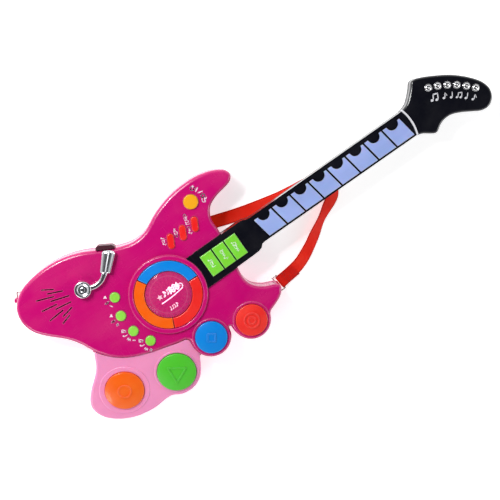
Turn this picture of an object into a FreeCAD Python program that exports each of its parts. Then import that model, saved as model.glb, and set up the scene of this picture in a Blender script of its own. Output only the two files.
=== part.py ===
import FreeCAD, Part
import math
import os

from FreeCAD import Placement, Rotation, Vector

# A child's electronic guitar lying on its back: +Z out of its playing face and
# +X from the body towards the head.  Places are measured from the centre of
# the round play disc, and every piece is moved to the part's own frame, whose
# origin is the middle of the underside, when it is saved.  Sizes are in mm.

# Driving dimensions: the frame
CENTRE_X = 154.1
CENTRE_Y = -2.7

# Driving dimensions: levels
REST_H = 4.0
PARTING = 20.0
FACE = 42.0
NECK_FACE = 40.0
PANEL_FACE = 44.0
BOARD_Z = 28.0
WALL = 2.4
NECK_WALL = 1.8
SEAM = 0.2
EDGE_R = 5.0
REAR_EDGE_R = 4.0

# Driving dimensions: body and wing
BLUE_LOBE = (12.2, -75.9, 25.8)
RED_LOBE = (66.3, -87.4, 25.3)
GREEN_LOBE = (-49.8, -88.4, 31.0)
WING_SLOPE = 8.0
WING_LEVEL = 38.5
WING_DATUM = (-65.0, -47.0)
WING_FALL = (-0.457, -0.889)
WING_EDGE_R = 3.0

# Driving dimensions: play disc
RING_IN = 29.9
RING_OUT = 42.9
HUB_R = 29.2
RING_HOLE_R = 43.4
BEZEL_R = 49.5
BEZEL_TOP = 45.5
RING_TOP = 45.0
RING_CONTACT_R = 36.4
CONTACT_SHARES = (0.25, 0.75)
RING_PARTS = {"blue": (-1.5, 119.5), "orange": (119.5, 245.0), "red": (245.0, 358.5)}

# Driving dimensions: buttons
TRAVEL = 1.5
CLEAR = 0.35
DOME_TOP = BOARD_Z + 4.3
SMALL_BUTTONS = {
    "volume_down": (-56.3, 35.7),
    "volume_up": (-63.7, 12.3),
    "tempo_down": (-62.3, -12.3),
    "tempo_up": (-52.0, -34.7),
}
SMALL_R = 6.4
POWER_BUTTON = (89.3, 79.0)
POWER_R = 9.2
MODE_BUTTONS = [(41.0, 53.0), (59.3, 53.2), (77.5, 53.5)]
MODE_LENGTH = 19.0
MODE_WIDTH = 8.4
MODE_ANGLE = 63.0
PAD_RIMS = {"orange": 7.2, "green": 3.4, "blue": 3.4, "red": 3.4}
PAD_SHAPES = {"triangle": (3, -5, 0.6), "diamond": (4, 10, 0.4)}
PADS = {
    "orange": (-117.0, -69.5, 24.8, "ring", True),
    "green": (-49.5, -88.0, 24.8, "triangle", True),
    "blue": (12.5, -75.5, 20.3, "diamond", False),
    "red": (66.5, -87.0, 20.1, "wave", False),
}

# Driving dimensions: neck and keys
NECK_Y = (-15.0, 20.6)
HEEL_Y = (-21.8, 24.6)
HEEL_X = (55.0, 128.0)
NECK_START = 133.0
NUT_X = 372.8
NUT_RADIUS = 60.0
NUT_WIDTH = 2.2
KEY_Y = (-12.4, 14.6)
KEY_FIRST = 144.6
KEY_PITCH = 27.95
KEY_WIDTH = 25.3
KEY_LEAN = 5.2
KEY_COUNT = 8
NOTCH_R = 8.0
KEY_TOP = 41.6
RHYTHM_X = [67.0, 85.2, 103.2]
RHYTHM_SIZE = (16.4, 29.6)
RHYTHM_Y = 1.4
RHYTHM_TOP = 46.4
NECK_BASE = 20.3
NECK_PARTING = 31.3
NECK_TONGUE = (356.0, 392.0, -6.0, 11.0, 23.9, 27.9)
NECK_BOARD_Z = 29.6
NECK_DOME_TOP = 34.0
PANEL_SLOPE_X = (115.0, 132.0)
NUT_MIDDLE_Y = 3.2

# Driving dimensions: lever
LEVER_HUB = (-82.0, 66.6)
LEVER_R = 10.5
LEVER_LOW = FACE + 0.8
LEVER_TOP = 50.0
LEVER_STEM_R = 3.63
ARM_ROUTE = [(-73.4, 63.2), (-64.5, 61.5), (-55.5, 63.4), (-48.3, 68.0)]
ARM_Z = (45.6, 49.0)
ARM_HALF = 3.0
PADDLE = [(-53.6, 71.0), (-42.6, 63.1), (-20.7, 82.2), (-34.3, 93.2)]
PADDLE_Z = (45.2, 50.4)

# Driving dimensions: speaker, boards and battery box
SPEAKER = (-121.0, 72.0)
SPEAKER_R = 25.0
BATTERY_BOX = (-80.0, -20.0, -76.0, -27.0)
BOX_ROOF = 21.0
CELL_R = 7.2
CELL_LENGTH = 50.0
CELL_PITCH = 16.0
CELL_Z = 13.7
DOOR_MARGIN = 3.0
DOOR_TOP = REST_H + 1.6
DOOR_SCREW = (BATTERY_BOX[1] + 5.5, (BATTERY_BOX[2] + BATTERY_BOX[3]) / 2)
BOARD_THICK = 1.6
BOARD_POSTS = [(-68, -20), (-70, 42), (16, 54), (50, -40)]
POWER_POSTS = [(84, 86), (97, 74)]
LED_REACH = 14.0
LED_ANGLES = (90, 210, 330)

# Driving dimensions: strap, its rings and the trim
STRAP_WIDTH = 18.0
STRAP_THICK = 1.4
STRAP_Z = 1.2
STRAP_SPACING = 0.45
RING_WIRE_R = 0.9
RING_WIRE_Z = 2.9
STRAP_RINGS = [(118.5, -75.9, 4.0, 6.0), (-164.0, 100.5, 146.0, -8.0)]

STUDS = [(413.2, 25.7), (424.3, 20.8), (435.0, 15.0), (445.1, 8.2), (454.6, 0.1), (463.2, -8.4)]
STUD_R = 4.8
RESTS = [(-120.0, 98.0), (-140.0, -72.0), (-48.0, -100.0), (66.0, -92.0), (112.0, 88.0)]
CASE_SCREWS = [(-152, 88), (-60, 92), (30, 70), (130, 83), (-106, 6), (39.5, -62), (104, -77)]
WING_SCREWS = [(-97, -43), (-83, -82)]
HEEL_SCREWS = [(68, 1.4), (88, 1.4)]
NECK_SCREW = (122.0, 1.4)
HEAD_SCREWS = [(384.0, 2.5), (452.0, -19.0)]
SCREW_HOLE_R = 1.35
SCREW_WAY_R = 1.5
SCREW_HEAD_R = 2.7
SLOT_WIDTH = 1.5
SPEAKER_SLOTS = [
    (-124, 95, -112, 87.5), (-137, 87.5, -117, 80), (-121, 87, -104, 79.5), (-123, 77, -101, 70),
    (-139, 73, -120, 70), (-124, 65.5, -104, 62.5), (-138, 58, -118, 59.5), (-122, 53, -107, 56),
    (-127, 46, -115, 49.5),
]
STRAP_ROUTE = [
    (125.0, -75.7), (152.0, -73.2), (179.0, -60.5), (205.0, -43.0), (230.0, -28.8), (250.0, -19.0),
    (253.5, -2.5), (242.5, 10.0), (217.0, 11.5), (190.0, 13.5), (160.0, 20.0), (128.0, 28.0),
    (98.0, 38.0), (64.0, 48.5), (28.0, 47.5), (-4.0, 32.0), (-30.0, 8.0), (-64.0, 0.0),
    (-97.0, 9.0), (-120.0, 33.0), (-133.0, 66.0), (-156.5, 95.3),
]

BODY_EDGE = [
    (-12, -60), (-24, -58.5), (-40, -54), (-60, -48.5), (-80, -41), (-96, -32), (-109, -19.5),
    (-118.5, -5), (-124.5, 10), (-135, 26), (-151, 41), (-165, 57), (-170, 76), (-164, 96),
    (-146, 110), (-118, 115.5), (-88, 115), (-60, 107), (-38, 95), (-15, 83), (4, 78),
    (22, 80.5), (45, 93), (75, 101.5), (110, 102.5), (134, 96), (147, 87.5), (150.5, 79),
    (144.5, 71.5), (134, 69), (120, 67), (106, 61), (99, 51), (96.5, 41), (97.5, 30),
    (95, 5), (91, -18), (88.5, -32), (88.5, -43), (93, -53), (104, -62.5), (115, -66.5),
    (123, -72), (118.5, -80.5), (109.5, -86.5), (100, -90), (91.5, -93),
]
LOBE_WEB = [(40.7, -78.8), (37.4, -78.8)]
WING_OUTER = [
    (-121.5, -11), (-127, -23), (-135.2, -32), (-149.5, -43), (-162, -56.3), (-166, -68.3),
    (-161, -84), (-147.3, -97.8), (-127.7, -108.5), (-100.7, -113), (-82, -110.7), (-72, -111),
]
WING_INSIDE = [(-12, -85), (6, -66), (-20, -40), (-104, 0), (-114, -1)]
BOARD_EDGE = [
    (-76, -34), (-76, 48), (20, 61), (90, 66), (90, 40), (52, 30), (52, -26), (60, -46),
    (-36, -46), (-58, -41),
]
HEAD_EDGE = [
    (362, 20.3), (372, 21.2), (380, 24), (388, 31), (395, 38.5), (399.5, 44.8), (406, 44.6),
    (418, 39.5), (432, 32), (446, 23.5), (458, 13.5), (468, 3), (475.5, -7), (479.5, -20),
    (475, -32), (466, -38.5), (455, -37.5), (444, -31), (432, -23.8), (418, -18), (404, -20),
    (392.5, -28.4), (385, -24), (376, -17), (362, -15.4),
]


def point(x, y, z=0.0):
    return Vector(x, y, z)


def rounded_wire(corners, share=0.5):
    """Close a run of corners, each rounded by the largest tangent arc that its sides allow."""
    places = [point(x, y) for x, y in corners]
    arcs = []
    for index, corner in enumerate(places):
        before = places[index - 1] - corner
        after = places[(index + 1) % len(places)] - corner
        arcs.append(corner_arc(corner, before, after, share))
    edges = []
    for index, (start, middle, end) in enumerate(arcs):
        edges.append(Part.Arc(start, middle, end).toShape())
        following = arcs[(index + 1) % len(arcs)][0]
        if (following - end).Length > 1e-4:
            edges.append(Part.makeLine(end, following))
    return Part.Wire(edges)


def corner_arc(corner, before, after, share):
    reach = share * min(before.Length, after.Length)
    u = before.normalize()
    v = after.normalize()
    half = u.getAngle(v) / 2
    inward = (u + v).normalize()
    radius = reach * math.tan(half)
    middle = corner + inward * (reach / math.cos(half) - radius)
    return corner + u * reach, middle, corner + v * reach


def lobe(circle, first, last, count):
    """Corners whose rounded wire runs exactly on the circle."""
    x, y, radius = circle
    step = (last - first) / count
    reach = radius / math.cos(math.radians(abs(step) / 2))
    angles = [math.radians(first + step * (index + 0.5)) for index in range(count)]
    return [(x + reach * math.cos(a), y + reach * math.sin(a)) for a in angles]


def body_corners():
    return BODY_EDGE + lobe(RED_LOBE, -25, -185, 6) + LOBE_WEB + lobe(BLUE_LOBE, -14, -190, 6)


def wing_corners():
    return WING_OUTER + lobe(GREEN_LOBE, -128, -10, 4) + WING_INSIDE


def rear_corners():
    tail = BODY_EDGE[8:]
    lobes = lobe(RED_LOBE, -25, -185, 6) + LOBE_WEB + lobe(BLUE_LOBE, -14, -146, 5)
    green = lobe(GREEN_LOBE, -10, -128, 4)
    return tail + lobes + [(-14.5, -88.5)] + green + WING_OUTER[::-1]


def prism(face, low, high):
    return face.translated(point(0, 0, low)).extrude(point(0, 0, high - low))


def outline(corners):
    return Part.Face(rounded_wire(corners))


def cylinder(x, y, radius, low, high):
    return Part.makeCylinder(radius, high - low, point(x, y, low))


def tube(x, y, outer, inner, low, high):
    return cylinder(x, y, outer, low, high).cut(cylinder(x, y, inner, low - 1, high + 1))


def box(x0, x1, y0, y1, z0, z1):
    return Part.makeBox(x1 - x0, y1 - y0, z1 - z0, point(x0, y0, z0))


def cone(x, y, low_r, high_r, low, high):
    return Part.makeCone(low_r, high_r, high - low, point(x, y, low))


def fused(shapes):
    return shapes[0].multiFuse(shapes[1:]) if len(shapes) > 1 else shapes[0]


def cut_all(shape, tools):
    return shape.cut(Part.makeCompound(tools)) if tools else shape


def edges_at(shape, level):
    return [e for e in shape.Edges if abs(e.BoundBox.ZMin - level) < 0.01 and e.BoundBox.ZLength < 0.01]


def turned(shape, angle, x=0.0, y=0.0):
    return shape.rotated(point(x, y), point(0, 0, 1), angle)


def dome(x, y, radius, low, rise, thickness=0.0):
    """A spherical cap on a flat base, or a shell of it when a thickness is given."""
    ball = (radius * radius + rise * rise) / (2 * rise)
    cap = Part.makeSphere(ball, point(x, y, low + rise - ball))
    cap = cap.common(cylinder(x, y, radius + 1, low, low + rise + 1))
    if thickness:
        inner = Part.makeSphere(ball - thickness, point(x, y, low + rise - ball))
        cap = cap.cut(inner)
    return cap


# The wing's sloping face

def wing_height(x, y):
    fall = (x - WING_DATUM[0]) * WING_FALL[0] + (y - WING_DATUM[1]) * WING_FALL[1]
    return WING_LEVEL - fall * math.tan(math.radians(WING_SLOPE))


def wing_placement(x, y):
    tilt = Rotation(Vector(-WING_FALL[1], WING_FALL[0], 0), WING_SLOPE)
    return Placement(point(x, y, wing_height(x, y)), tilt)


def pad_placement(name):
    x, y, _, _, sloped = PADS[name]
    return wing_placement(x, y) if sloped else Placement(point(x, y, FACE), Rotation())


def on_pad(name, shape):
    placed = shape.copy()
    placed.Placement = pad_placement(name).multiply(placed.Placement)
    return placed


def above_wing(drop):
    """Everything higher than the wing's face lowered by a given depth."""
    size = 400
    block = box(-size, size, -size, size, 0, size)
    block.Placement = wing_placement(*WING_DATUM)
    block.translate(point(0, 0, -drop))
    return block


# Fasteners

def rear_post_hole(x, y):
    return fused([cylinder(x, y, SCREW_HEAD_R + 0.4, REST_H - 2, 12),
                  cylinder(x, y, SCREW_WAY_R, 11, PARTING + 1)])


def front_post(x, y, top):
    return cylinder(x, y, 3.6, PARTING + SEAM / 2, top).cut(cylinder(x, y, SCREW_HOLE_R, PARTING - 1, 33))


def case_screw(x, y, head_z, length):
    head = fused([cylinder(x, y, SCREW_HEAD_R, head_z - 1.2, head_z),
                  cone(x, y, 1.6, SCREW_HEAD_R, head_z - 2, head_z - 1.2)])
    slot = fused([box(x - 1.3, x + 1.3, y - 0.3, y + 0.3, head_z - 2.1, head_z - 1.2),
                  box(x - 0.3, x + 0.3, y - 1.3, y + 1.3, head_z - 2.1, head_z - 1.2)])
    return head.cut(slot).fuse(cylinder(x, y, 1.25, head_z, head_z + length))


def make_case_screws():
    screws = [case_screw(x, y, 12, 18) for x, y in CASE_SCREWS]
    screws += [case_screw(x, y, 12, 10) for x, y in WING_SCREWS]
    screws += [case_screw(x, y, 12, 15) for x, y in HEEL_SCREWS]
    screws += [case_screw(*NECK_SCREW, 24.5, 12), case_screw(*HEAD_SCREWS[0], 22.4, 12),
               case_screw(*HEAD_SCREWS[1], 24.5, 11)]
    return Part.makeCompound(screws)


# Body shells

def speaker_slot(x0, y0, x1, y1):
    """A straight cut with round ends through the face."""
    length = math.hypot(x1 - x0, y1 - y0)
    low, high = FACE - 4, FACE + 1
    bar = fused([box(0, length, -SLOT_WIDTH / 2, SLOT_WIDTH / 2, low, high),
                 cylinder(0, 0, SLOT_WIDTH / 2, low, high), cylinder(length, 0, SLOT_WIDTH / 2, low, high)])
    return turned(bar, math.degrees(math.atan2(y1 - y0, x1 - x0))).translated(point(x0, y0))


def capsule(x, y, length, width, low, high, angle):
    reach = (length - width) / 2
    bar = fused([box(-reach, reach, -width / 2, width / 2, low, high),
                 cylinder(-reach, 0, width / 2, low, high), cylinder(reach, 0, width / 2, low, high)])
    return turned(bar.removeSplitter(), angle).translated(point(x, y))


def pad_cup(radius):
    """The skirt that guides a pad, hanging under the face, in the pad's own frame."""
    return tube(0, 0, radius + 3.9, radius + 2.3, -11.5, -WALL + 0.5)


def pad_rim(name):
    radius = PADS[name][2]
    ring = tube(0, 0, radius + PAD_RIMS[name], radius + CLEAR, -0.5, 0.9)
    return ring.makeFillet(0.8, edges_at(ring, 0.9))


def panel_notch(grow):
    return box(HEEL_X[0] - grow, 140, HEEL_Y[0] - grow, HEEL_Y[1] + grow, 0, 60)


def make_front_shell():
    face = outline(body_corners())
    shell = prism(face, PARTING + SEAM / 2, FACE)
    shell = shell.makeFillet(EDGE_R, edges_at(shell, FACE))
    shell = shell.cut(prism(face.makeOffset2D(-WALL), 0, FACE - WALL))
    posts = [front_post(x, y, FACE - 1) for x, y in CASE_SCREWS]
    bezel = tube(0, 0, BEZEL_R, RING_HOLE_R, FACE - WALL - 2, BEZEL_TOP)
    bezel = bezel.makeFillet(1.4, edges_at(bezel, BEZEL_TOP))
    pads = [name for name in PADS if not PADS[name][4]]
    cups = [on_pad(name, pad_cup(PADS[name][2])) for name in pads]
    rims = [on_pad(name, pad_rim(name)) for name in pads]
    hub = tube(LEVER_HUB[0], LEVER_HUB[1], 6.5, 3.7, FACE - 8, FACE + 0.4)
    shell = fused([shell, bezel, hub] + posts + cups + rims)
    holes = [cylinder(0, 0, RING_HOLE_R, FACE - 8, FACE + 9), cylinder(*LEVER_HUB, 3.7, FACE - 9, FACE + 2)]
    holes += [on_pad(name, cylinder(0, 0, PADS[name][2] + CLEAR, -5, 5)) for name in pads]
    holes += [cylinder(x, y, SMALL_R + CLEAR, FACE - 5, FACE + 5) for x, y in SMALL_BUTTONS.values()]
    holes += [cylinder(*POWER_BUTTON, POWER_R + CLEAR, FACE - 5, FACE + 5)]
    holes += [capsule(x, y, MODE_LENGTH + 2 * CLEAR, MODE_WIDTH + 2 * CLEAR, FACE - 5, FACE + 5, MODE_ANGLE)
              for x, y in MODE_BUTTONS]
    holes += [speaker_slot(*ends) for ends in SPEAKER_SLOTS] + [panel_notch(0.3), battery_relief()]
    return cut_all(shell, holes)


def make_wing_cover():
    body = outline(body_corners()).makeOffset2D(SEAM)
    whole = prism(outline(wing_corners()), PARTING + SEAM / 2, 50).cut(above_wing(0))
    rim = [e for e in whole.Edges if e.BoundBox.ZMin > 24]
    cover = whole.makeFillet(WING_EDGE_R, rim).cut(prism(body, 0, 60))
    face = outline(wing_corners()).cut(body).Faces[0]
    inner = face.makeOffset2D(-WALL)
    cover = cover.cut(prism(inner, 0, 50).cut(above_wing(WALL)))
    names = [name for name in PADS if PADS[name][4]]
    room = prism(face, PARTING + SEAM / 2, 50)
    cups = [on_pad(name, pad_cup(PADS[name][2])).common(room) for name in names]
    rims = [on_pad(name, pad_rim(name)) for name in names]
    posts = [front_post(x, y, wing_height(x, y) - 1) for x, y in WING_SCREWS]
    cover = fused([cover] + posts + cups + rims)
    holes = [on_pad(name, cylinder(0, 0, PADS[name][2] + CLEAR, -5, 5)) for name in names]
    return cut_all(cover, holes + [battery_relief()])


def strap_ear(x, y, angle, top):
    """A moulded eye on the shell's edge that a strap ring passes through."""
    ear = box(-9, 2.2, -2.5, 2.5, REST_H, top).fuse(box(-4, 2.2, -2.5, 2.5, 1.4, top))
    eye = Part.makeCylinder(RING_WIRE_R + CLEAR, 8, point(0, -4, RING_WIRE_Z), point(0, 1, 0))
    return turned(ear.cut(eye), angle).translated(point(x, y))


def strap_ring(x, y, angle, reach):
    """A rectangular wire loop whose near bar lies in the ear's eye."""
    half = STRAP_WIDTH / 2 + 1.2
    start = min(0, reach)
    bars = [Part.makeCylinder(RING_WIRE_R, 2 * half, point(px, -half, RING_WIRE_Z), point(0, 1, 0))
            for px in (0, reach)]
    bars += [Part.makeCylinder(RING_WIRE_R, abs(reach), point(start, py, RING_WIRE_Z), point(1, 0, 0))
             for py in (-half, half)]
    corners = [Part.makeSphere(RING_WIRE_R, point(px, side * half, RING_WIRE_Z))
               for px in (0, reach) for side in (-1, 1)]
    return turned(fused(bars + corners), angle).translated(point(x, y))


def make_strap_rings():
    return Part.makeCompound([strap_ring(*ring) for ring in STRAP_RINGS])


def make_rear_shell():
    face = outline(rear_corners())
    shell = prism(face, REST_H, PARTING - SEAM / 2)
    shell = shell.makeFillet(REAR_EDGE_R, edges_at(shell, REST_H))
    shell = shell.cut(prism(face.makeOffset2D(-WALL), REST_H + WALL, PARTING + 5))
    places = CASE_SCREWS + WING_SCREWS + HEEL_SCREWS
    posts = [cylinder(x, y, 4.2, REST_H, PARTING - SEAM / 2) for x, y in places]
    rests = [cone(x, y, 5, 6.5, 0, REST_H + 1) for x, y in RESTS]
    pillars = [cylinder(x, y, 3, REST_H, BOARD_Z - 0.1) for x, y in BOARD_POSTS + POWER_POSTS]
    ears = [strap_ear(x, y, angle, PARTING - 8) for x, y, angle, _ in STRAP_RINGS]
    shell = fused([shell, battery_walls()] + posts + rests + pillars + ears)
    holes = [rear_post_hole(x, y) for x, y in places]
    return cut_all(shell, holes + [door_opening(), door_screw_hole()])


# Battery compartment

def battery_walls():
    x0, x1, y0, y1 = BATTERY_BOX
    outer = box(x0 - 1.6, x1 + 1.6, y0 - 1.6, y1 + 1.6, REST_H, BOX_ROOF + 1.2)
    boss = cylinder(*DOOR_SCREW, 4.4, REST_H, PARTING - 2)
    return fused([outer, boss]).cut(box(x0, x1, y0, y1, REST_H - 1, BOX_ROOF))


def battery_relief():
    """Room in the front covers for the battery box's roof."""
    x0, x1, y0, y1 = BATTERY_BOX
    return box(x0 - 2.2, x1 + 2.2, y0 - 2.2, y1 + 2.2, 0, BOX_ROOF + 1.8)


def door_box(grow):
    x0, x1, y0, y1 = BATTERY_BOX
    return (x0 + DOOR_MARGIN - grow, x1 - DOOR_MARGIN + grow, y0 + 0.6 - grow, y1 - 0.6 + grow)


def door_opening():
    return box(*door_box(CLEAR), REST_H - 2, REST_H + WALL + 1)


def door_screw_hole():
    x, y = DOOR_SCREW
    half = 5 + CLEAR
    recess = box(BATTERY_BOX[1] - 8, x + 0.5 + half, y - half, y + half, REST_H - 2, DOOR_TOP + 0.4)
    return fused([recess, cylinder(x, y, 2.3, REST_H, REST_H + 12)])


def make_battery_door():
    x, y = DOOR_SCREW
    plate = box(*door_box(0), REST_H, DOOR_TOP)
    tongue = box(BATTERY_BOX[1] - 8, x + 5.5, y - 5, y + 5, REST_H, DOOR_TOP)
    first = BATTERY_BOX[0] + 8
    ribs = [box(first + 5 * i, first + 1.2 + 5 * i, y - 8, y + 8, REST_H - 0.7, REST_H + 0.2)
            for i in range(4)]
    door = fused([plate, tongue] + ribs)
    return door.cut(cylinder(x, y, 1.45, 0, 12)).cut(cone(x, y, 2.9, 1.4, REST_H - 0.01, REST_H + 1.2))


def make_door_screw():
    x, y = DOOR_SCREW
    head = cone(x, y, 2.7, 1.3, REST_H + 0.05, REST_H + 1.2)
    slot = box(x - 2, x + 2, y - 0.35, y + 0.35, REST_H, REST_H + 0.6)
    return head.cut(slot).fuse(cylinder(x, y, 1.3, REST_H + 1, REST_H + 9))


def make_batteries():
    x0, x1, y0, y1 = BATTERY_BOX
    cells = []
    for index in range(3):
        y = (y0 + y1) / 2 + (index - 1) * CELL_PITCH
        flip = index % 2
        start = x0 + 4.6 if not flip else x1 - 4.6
        axis = point(1 - 2 * flip, 0, 0)
        body = Part.makeCylinder(CELL_R, CELL_LENGTH - 1.2, point(start, y, CELL_Z), axis)
        tip = Part.makeCylinder(2.7, CELL_LENGTH, point(start, y, CELL_Z), axis)
        cells.append(body.fuse(tip))
    return Part.makeCompound(cells)


def make_battery_contacts():
    x0, x1, y0, y1 = BATTERY_BOX
    pieces = []
    for index in range(3):
        y = (y0 + y1) / 2 + (index - 1) * CELL_PITCH
        for x, outward in ((x0 + 0.1, 1), (x1 - 0.1, -1)):
            low = min(x, x + outward * 0.6)
            plate = box(low, low + 0.6, y - 5.5, y + 5.5, 8.5, 16.8)
            coil = Part.makeCone(4.2, 2.4, 3.2, point(x + outward * 0.5, y, CELL_Z), point(outward, 0, 0))
            core = Part.makeCone(3.4, 1.6, 3.6, point(x + outward * 0.4, y, CELL_Z), point(outward, 0, 0))
            pieces.append(plate.fuse(coil.cut(core)))
    return Part.makeCompound(pieces)


# Play disc

def sector(inner, outer, low, high, start, end):
    ring = turned(tube(0, 0, outer, inner, low, high), start - 20)
    wedge = [point(0, 0, low - 1)]
    for index in range(4):
        angle = math.radians(start + (end - start) * index / 3)
        wedge.append(point(200 * math.cos(angle), 200 * math.sin(angle), low - 1))
    face = Part.Face(Part.makePolygon(wedge + [wedge[0]]))
    return ring.common(face.extrude(point(0, 0, high - low + 2)))


def make_ring_button(start, end):
    gap = 0.7
    cap = sector(RING_IN, RING_OUT, FACE - 3.2, RING_TOP, start + gap, end - gap)
    cap = cap.makeFillet(1.2, edges_at(cap, RING_TOP))
    flange = sector(RING_IN, RING_HOLE_R + 2.4, FACE - WALL - 4.6, FACE - WALL - 2.6, start + 2, end - 2)
    lip = sector(RING_IN, RING_OUT, FACE - WALL - 3, FACE - 3, start + gap, end - gap)
    feet = [cylinder(x, y, 3, DOME_TOP + TRAVEL + 0.1, FACE - WALL - 3)
            for x, y in ring_contacts(start, end)]
    return fused([cap, lip, flange] + feet)


def ring_contacts(start, end):
    angles = [math.radians(start + (end - start) * share) for share in CONTACT_SHARES]
    return [(RING_CONTACT_R * math.cos(angle), RING_CONTACT_R * math.sin(angle)) for angle in angles]


def led_places():
    angles = [math.radians(angle) for angle in LED_ANGLES]
    return [(LED_REACH * math.cos(angle), LED_REACH * math.sin(angle)) for angle in angles]


def make_dome_base():
    base = cylinder(0, 0, HUB_R, BOARD_Z + 1.8, FACE + 0.5)
    base = base.cut(cylinder(0, 0, HUB_R - 2.2, BOARD_Z - 2, FACE - 2.6))
    base = base.cut(cylinder(0, 0, HUB_R - 2.2, FACE - 1.2, FACE + 2))
    holes = [cylinder(x, y, 3.3, 30, 50) for x, y in led_places()]
    return cut_all(base, holes)


def make_dome_print():
    return cylinder(0, 0, HUB_R - 2.5, FACE - 1.1, FACE + 0.2)


def make_dome_lens():
    rim = tube(0, 0, HUB_R - 0.2, HUB_R - 2.0, FACE + 0.6, FACE + 1.8)
    return fused([rim, dome(0, 0, HUB_R - 0.2, FACE + 1.7, 5.6, 1.8)])


def make_leds():
    low = BOARD_Z + BOARD_THICK + 0.1
    lamps = [fused([cylinder(x, y, 2.5, low, 36), Part.makeSphere(2.5, point(x, y, 36))])
             for x, y in led_places()]
    return Part.makeCompound(lamps)


# Buttons and pads

def make_round_button(x, y, radius, rise):
    cap = cylinder(x, y, radius, FACE - 3.2, FACE + rise)
    cap = cap.makeFillet(1.3, edges_at(cap, FACE + rise))
    flange = cylinder(x, y, radius + 1.4, FACE - WALL - 2.2, FACE - WALL - 0.6)
    stem = cylinder(x, y, radius, FACE - WALL - 1, FACE - 3)
    return fused([cap, flange, stem, button_foot(x, y, FACE - WALL - 2)])


def button_foot(x, y, top):
    return cylinder(x, y, 2.6, DOME_TOP + TRAVEL + 0.1, top)


def make_mode_button(x, y):
    cap = capsule(x, y, MODE_LENGTH, MODE_WIDTH, FACE - WALL - 1, FACE + 2.2, MODE_ANGLE)
    cap = cap.makeFillet(1.2, edges_at(cap, FACE + 2.2))
    under = FACE - WALL - 0.6
    flange = capsule(x, y, MODE_LENGTH + 2.6, MODE_WIDTH + 2.6, under - 1.6, under, MODE_ANGLE)
    return fused([cap, flange, button_foot(x, y, FACE - WALL - 2)])


def pad_motif(kind, radius):
    """The raised shape on a pad's top, as a closed ridge."""
    low, high = 2, 6.2
    if kind in ("ring", "wave"):
        shares = (0.36,) if kind == "ring" else (0.26, 0.5)
        return fused([tube(0, 0, radius * share, radius * share - 1.6, low, high) for share in shares])
    sides, spin, share = PAD_SHAPES[kind]
    angles = [math.radians(spin + 360 * index / sides) for index in range(sides)]
    reach = radius * share
    outer = outline_small([(reach * math.cos(a), reach * math.sin(a)) for a in angles], 1.6)
    return prism(outer, low, high).cut(prism(outer.makeOffset2D(-1.7), 0, 20))


def outline_small(corners, reach):
    side = math.hypot(corners[1][0] - corners[0][0], corners[1][1] - corners[0][1])
    return Part.Face(rounded_wire(corners, reach / side))


def make_pad(name):
    _, _, radius, kind, _ = PADS[name]
    cap = cylinder(0, 0, radius, -WALL - 1, 3.2)
    crown = dome(0, 0, radius, 3.2, 2.4)
    cap = cap.fuse(crown).removeSplitter()
    cap = cap.makeFillet(1.0, edges_at(cap, 3.2))
    flange = cylinder(0, 0, radius + 1.5, -WALL - 2.4, -WALL - 0.6)
    foot = cylinder(0, 0, 6, -WALL - 3.4, -WALL - 2)
    return on_pad(name, fused([cap, pad_motif(kind, radius), flange, foot]))


def make_switch_boards():
    boards = [on_pad(name, cylinder(0, 0, PADS[name][2] + 1.8, -11.3, -9.6)) for name in PADS]
    return Part.makeCompound(boards + [cylinder(90, 80, 12, BOARD_Z, BOARD_Z + BOARD_THICK)])


def make_pad_domes():
    domes = []
    for name in PADS:
        rubber = fused([cylinder(0, 0, 9, -9.5, -8.9), cone(0, 0, 7.5, 4.5, -8.9, -8.2)])
        domes.append(on_pad(name, rubber))
    return Part.makeCompound(domes)


# Electronics

def make_main_board():
    corners = [point(x, y) for x, y in BOARD_EDGE + BOARD_EDGE[:1]]
    board = prism(Part.Face(Part.makePolygon(corners)), BOARD_Z, BOARD_Z + BOARD_THICK)
    return board.cut(cylinder(*CASE_SCREWS[5], 5, 20, 40))


def make_board_parts():
    under = BOARD_Z - 0.05
    chips = [box(-14, 2, -18, -8, under - 2.55, under), box(8, 20, 6, 14, under - 2.15, under)]
    cans = [cylinder(x, y, 3, under - 7, under) for x, y in ((-32, 44), (-24, 44), (30, -38))]
    plugs = [box(-60, -50, 40, 45, under - 5, under), box(34, 44, -4, 2, under - 5, under)]
    return Part.makeCompound(chips + cans + plugs)


def button_places():
    ring = []
    for start, end in RING_PARTS.values():
        ring += ring_contacts(start, end)
    return ring + list(SMALL_BUTTONS.values()) + MODE_BUTTONS + [POWER_BUTTON]


def rubber_dome(x, y, low, high):
    return fused([cylinder(x, y, 5, low, low + 0.6), cone(x, y, 4.2, 3, low + 0.5, high)])


def make_button_domes():
    low = BOARD_Z + BOARD_THICK + 0.1
    return Part.makeCompound([rubber_dome(x, y, low, DOME_TOP) for x, y in button_places()])


def make_speaker_frame():
    x, y = SPEAKER
    ring = tube(x, y, SPEAKER_R, SPEAKER_R - 4, FACE - WALL - 1.6, FACE - WALL - 0.1)
    basket = cone(x, y, 12, SPEAKER_R - 1, 31, FACE - WALL - 1.5)
    basket = basket.cut(cone(x, y, 11, SPEAKER_R - 2, 32.2, FACE - WALL - 1.4))
    return fused([ring, basket]).cut(cylinder(x, y, 8.2, 20, 34))


def make_speaker_cone():
    x, y = SPEAKER
    paper = cone(x, y, 6.5, SPEAKER_R - 4.4, 34.2, FACE - WALL - 1.8)
    return paper.cut(cone(x, y, 5.6, SPEAKER_R - 5.4, 34.8, FACE - WALL - 1.2)).removeSplitter()


def make_speaker_magnet():
    x, y = SPEAKER
    return fused([cylinder(x, y, 15, 24, 30.9), cylinder(x, y, 6, 30.8, 33.6)])


# Neck, panel and keys

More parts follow.
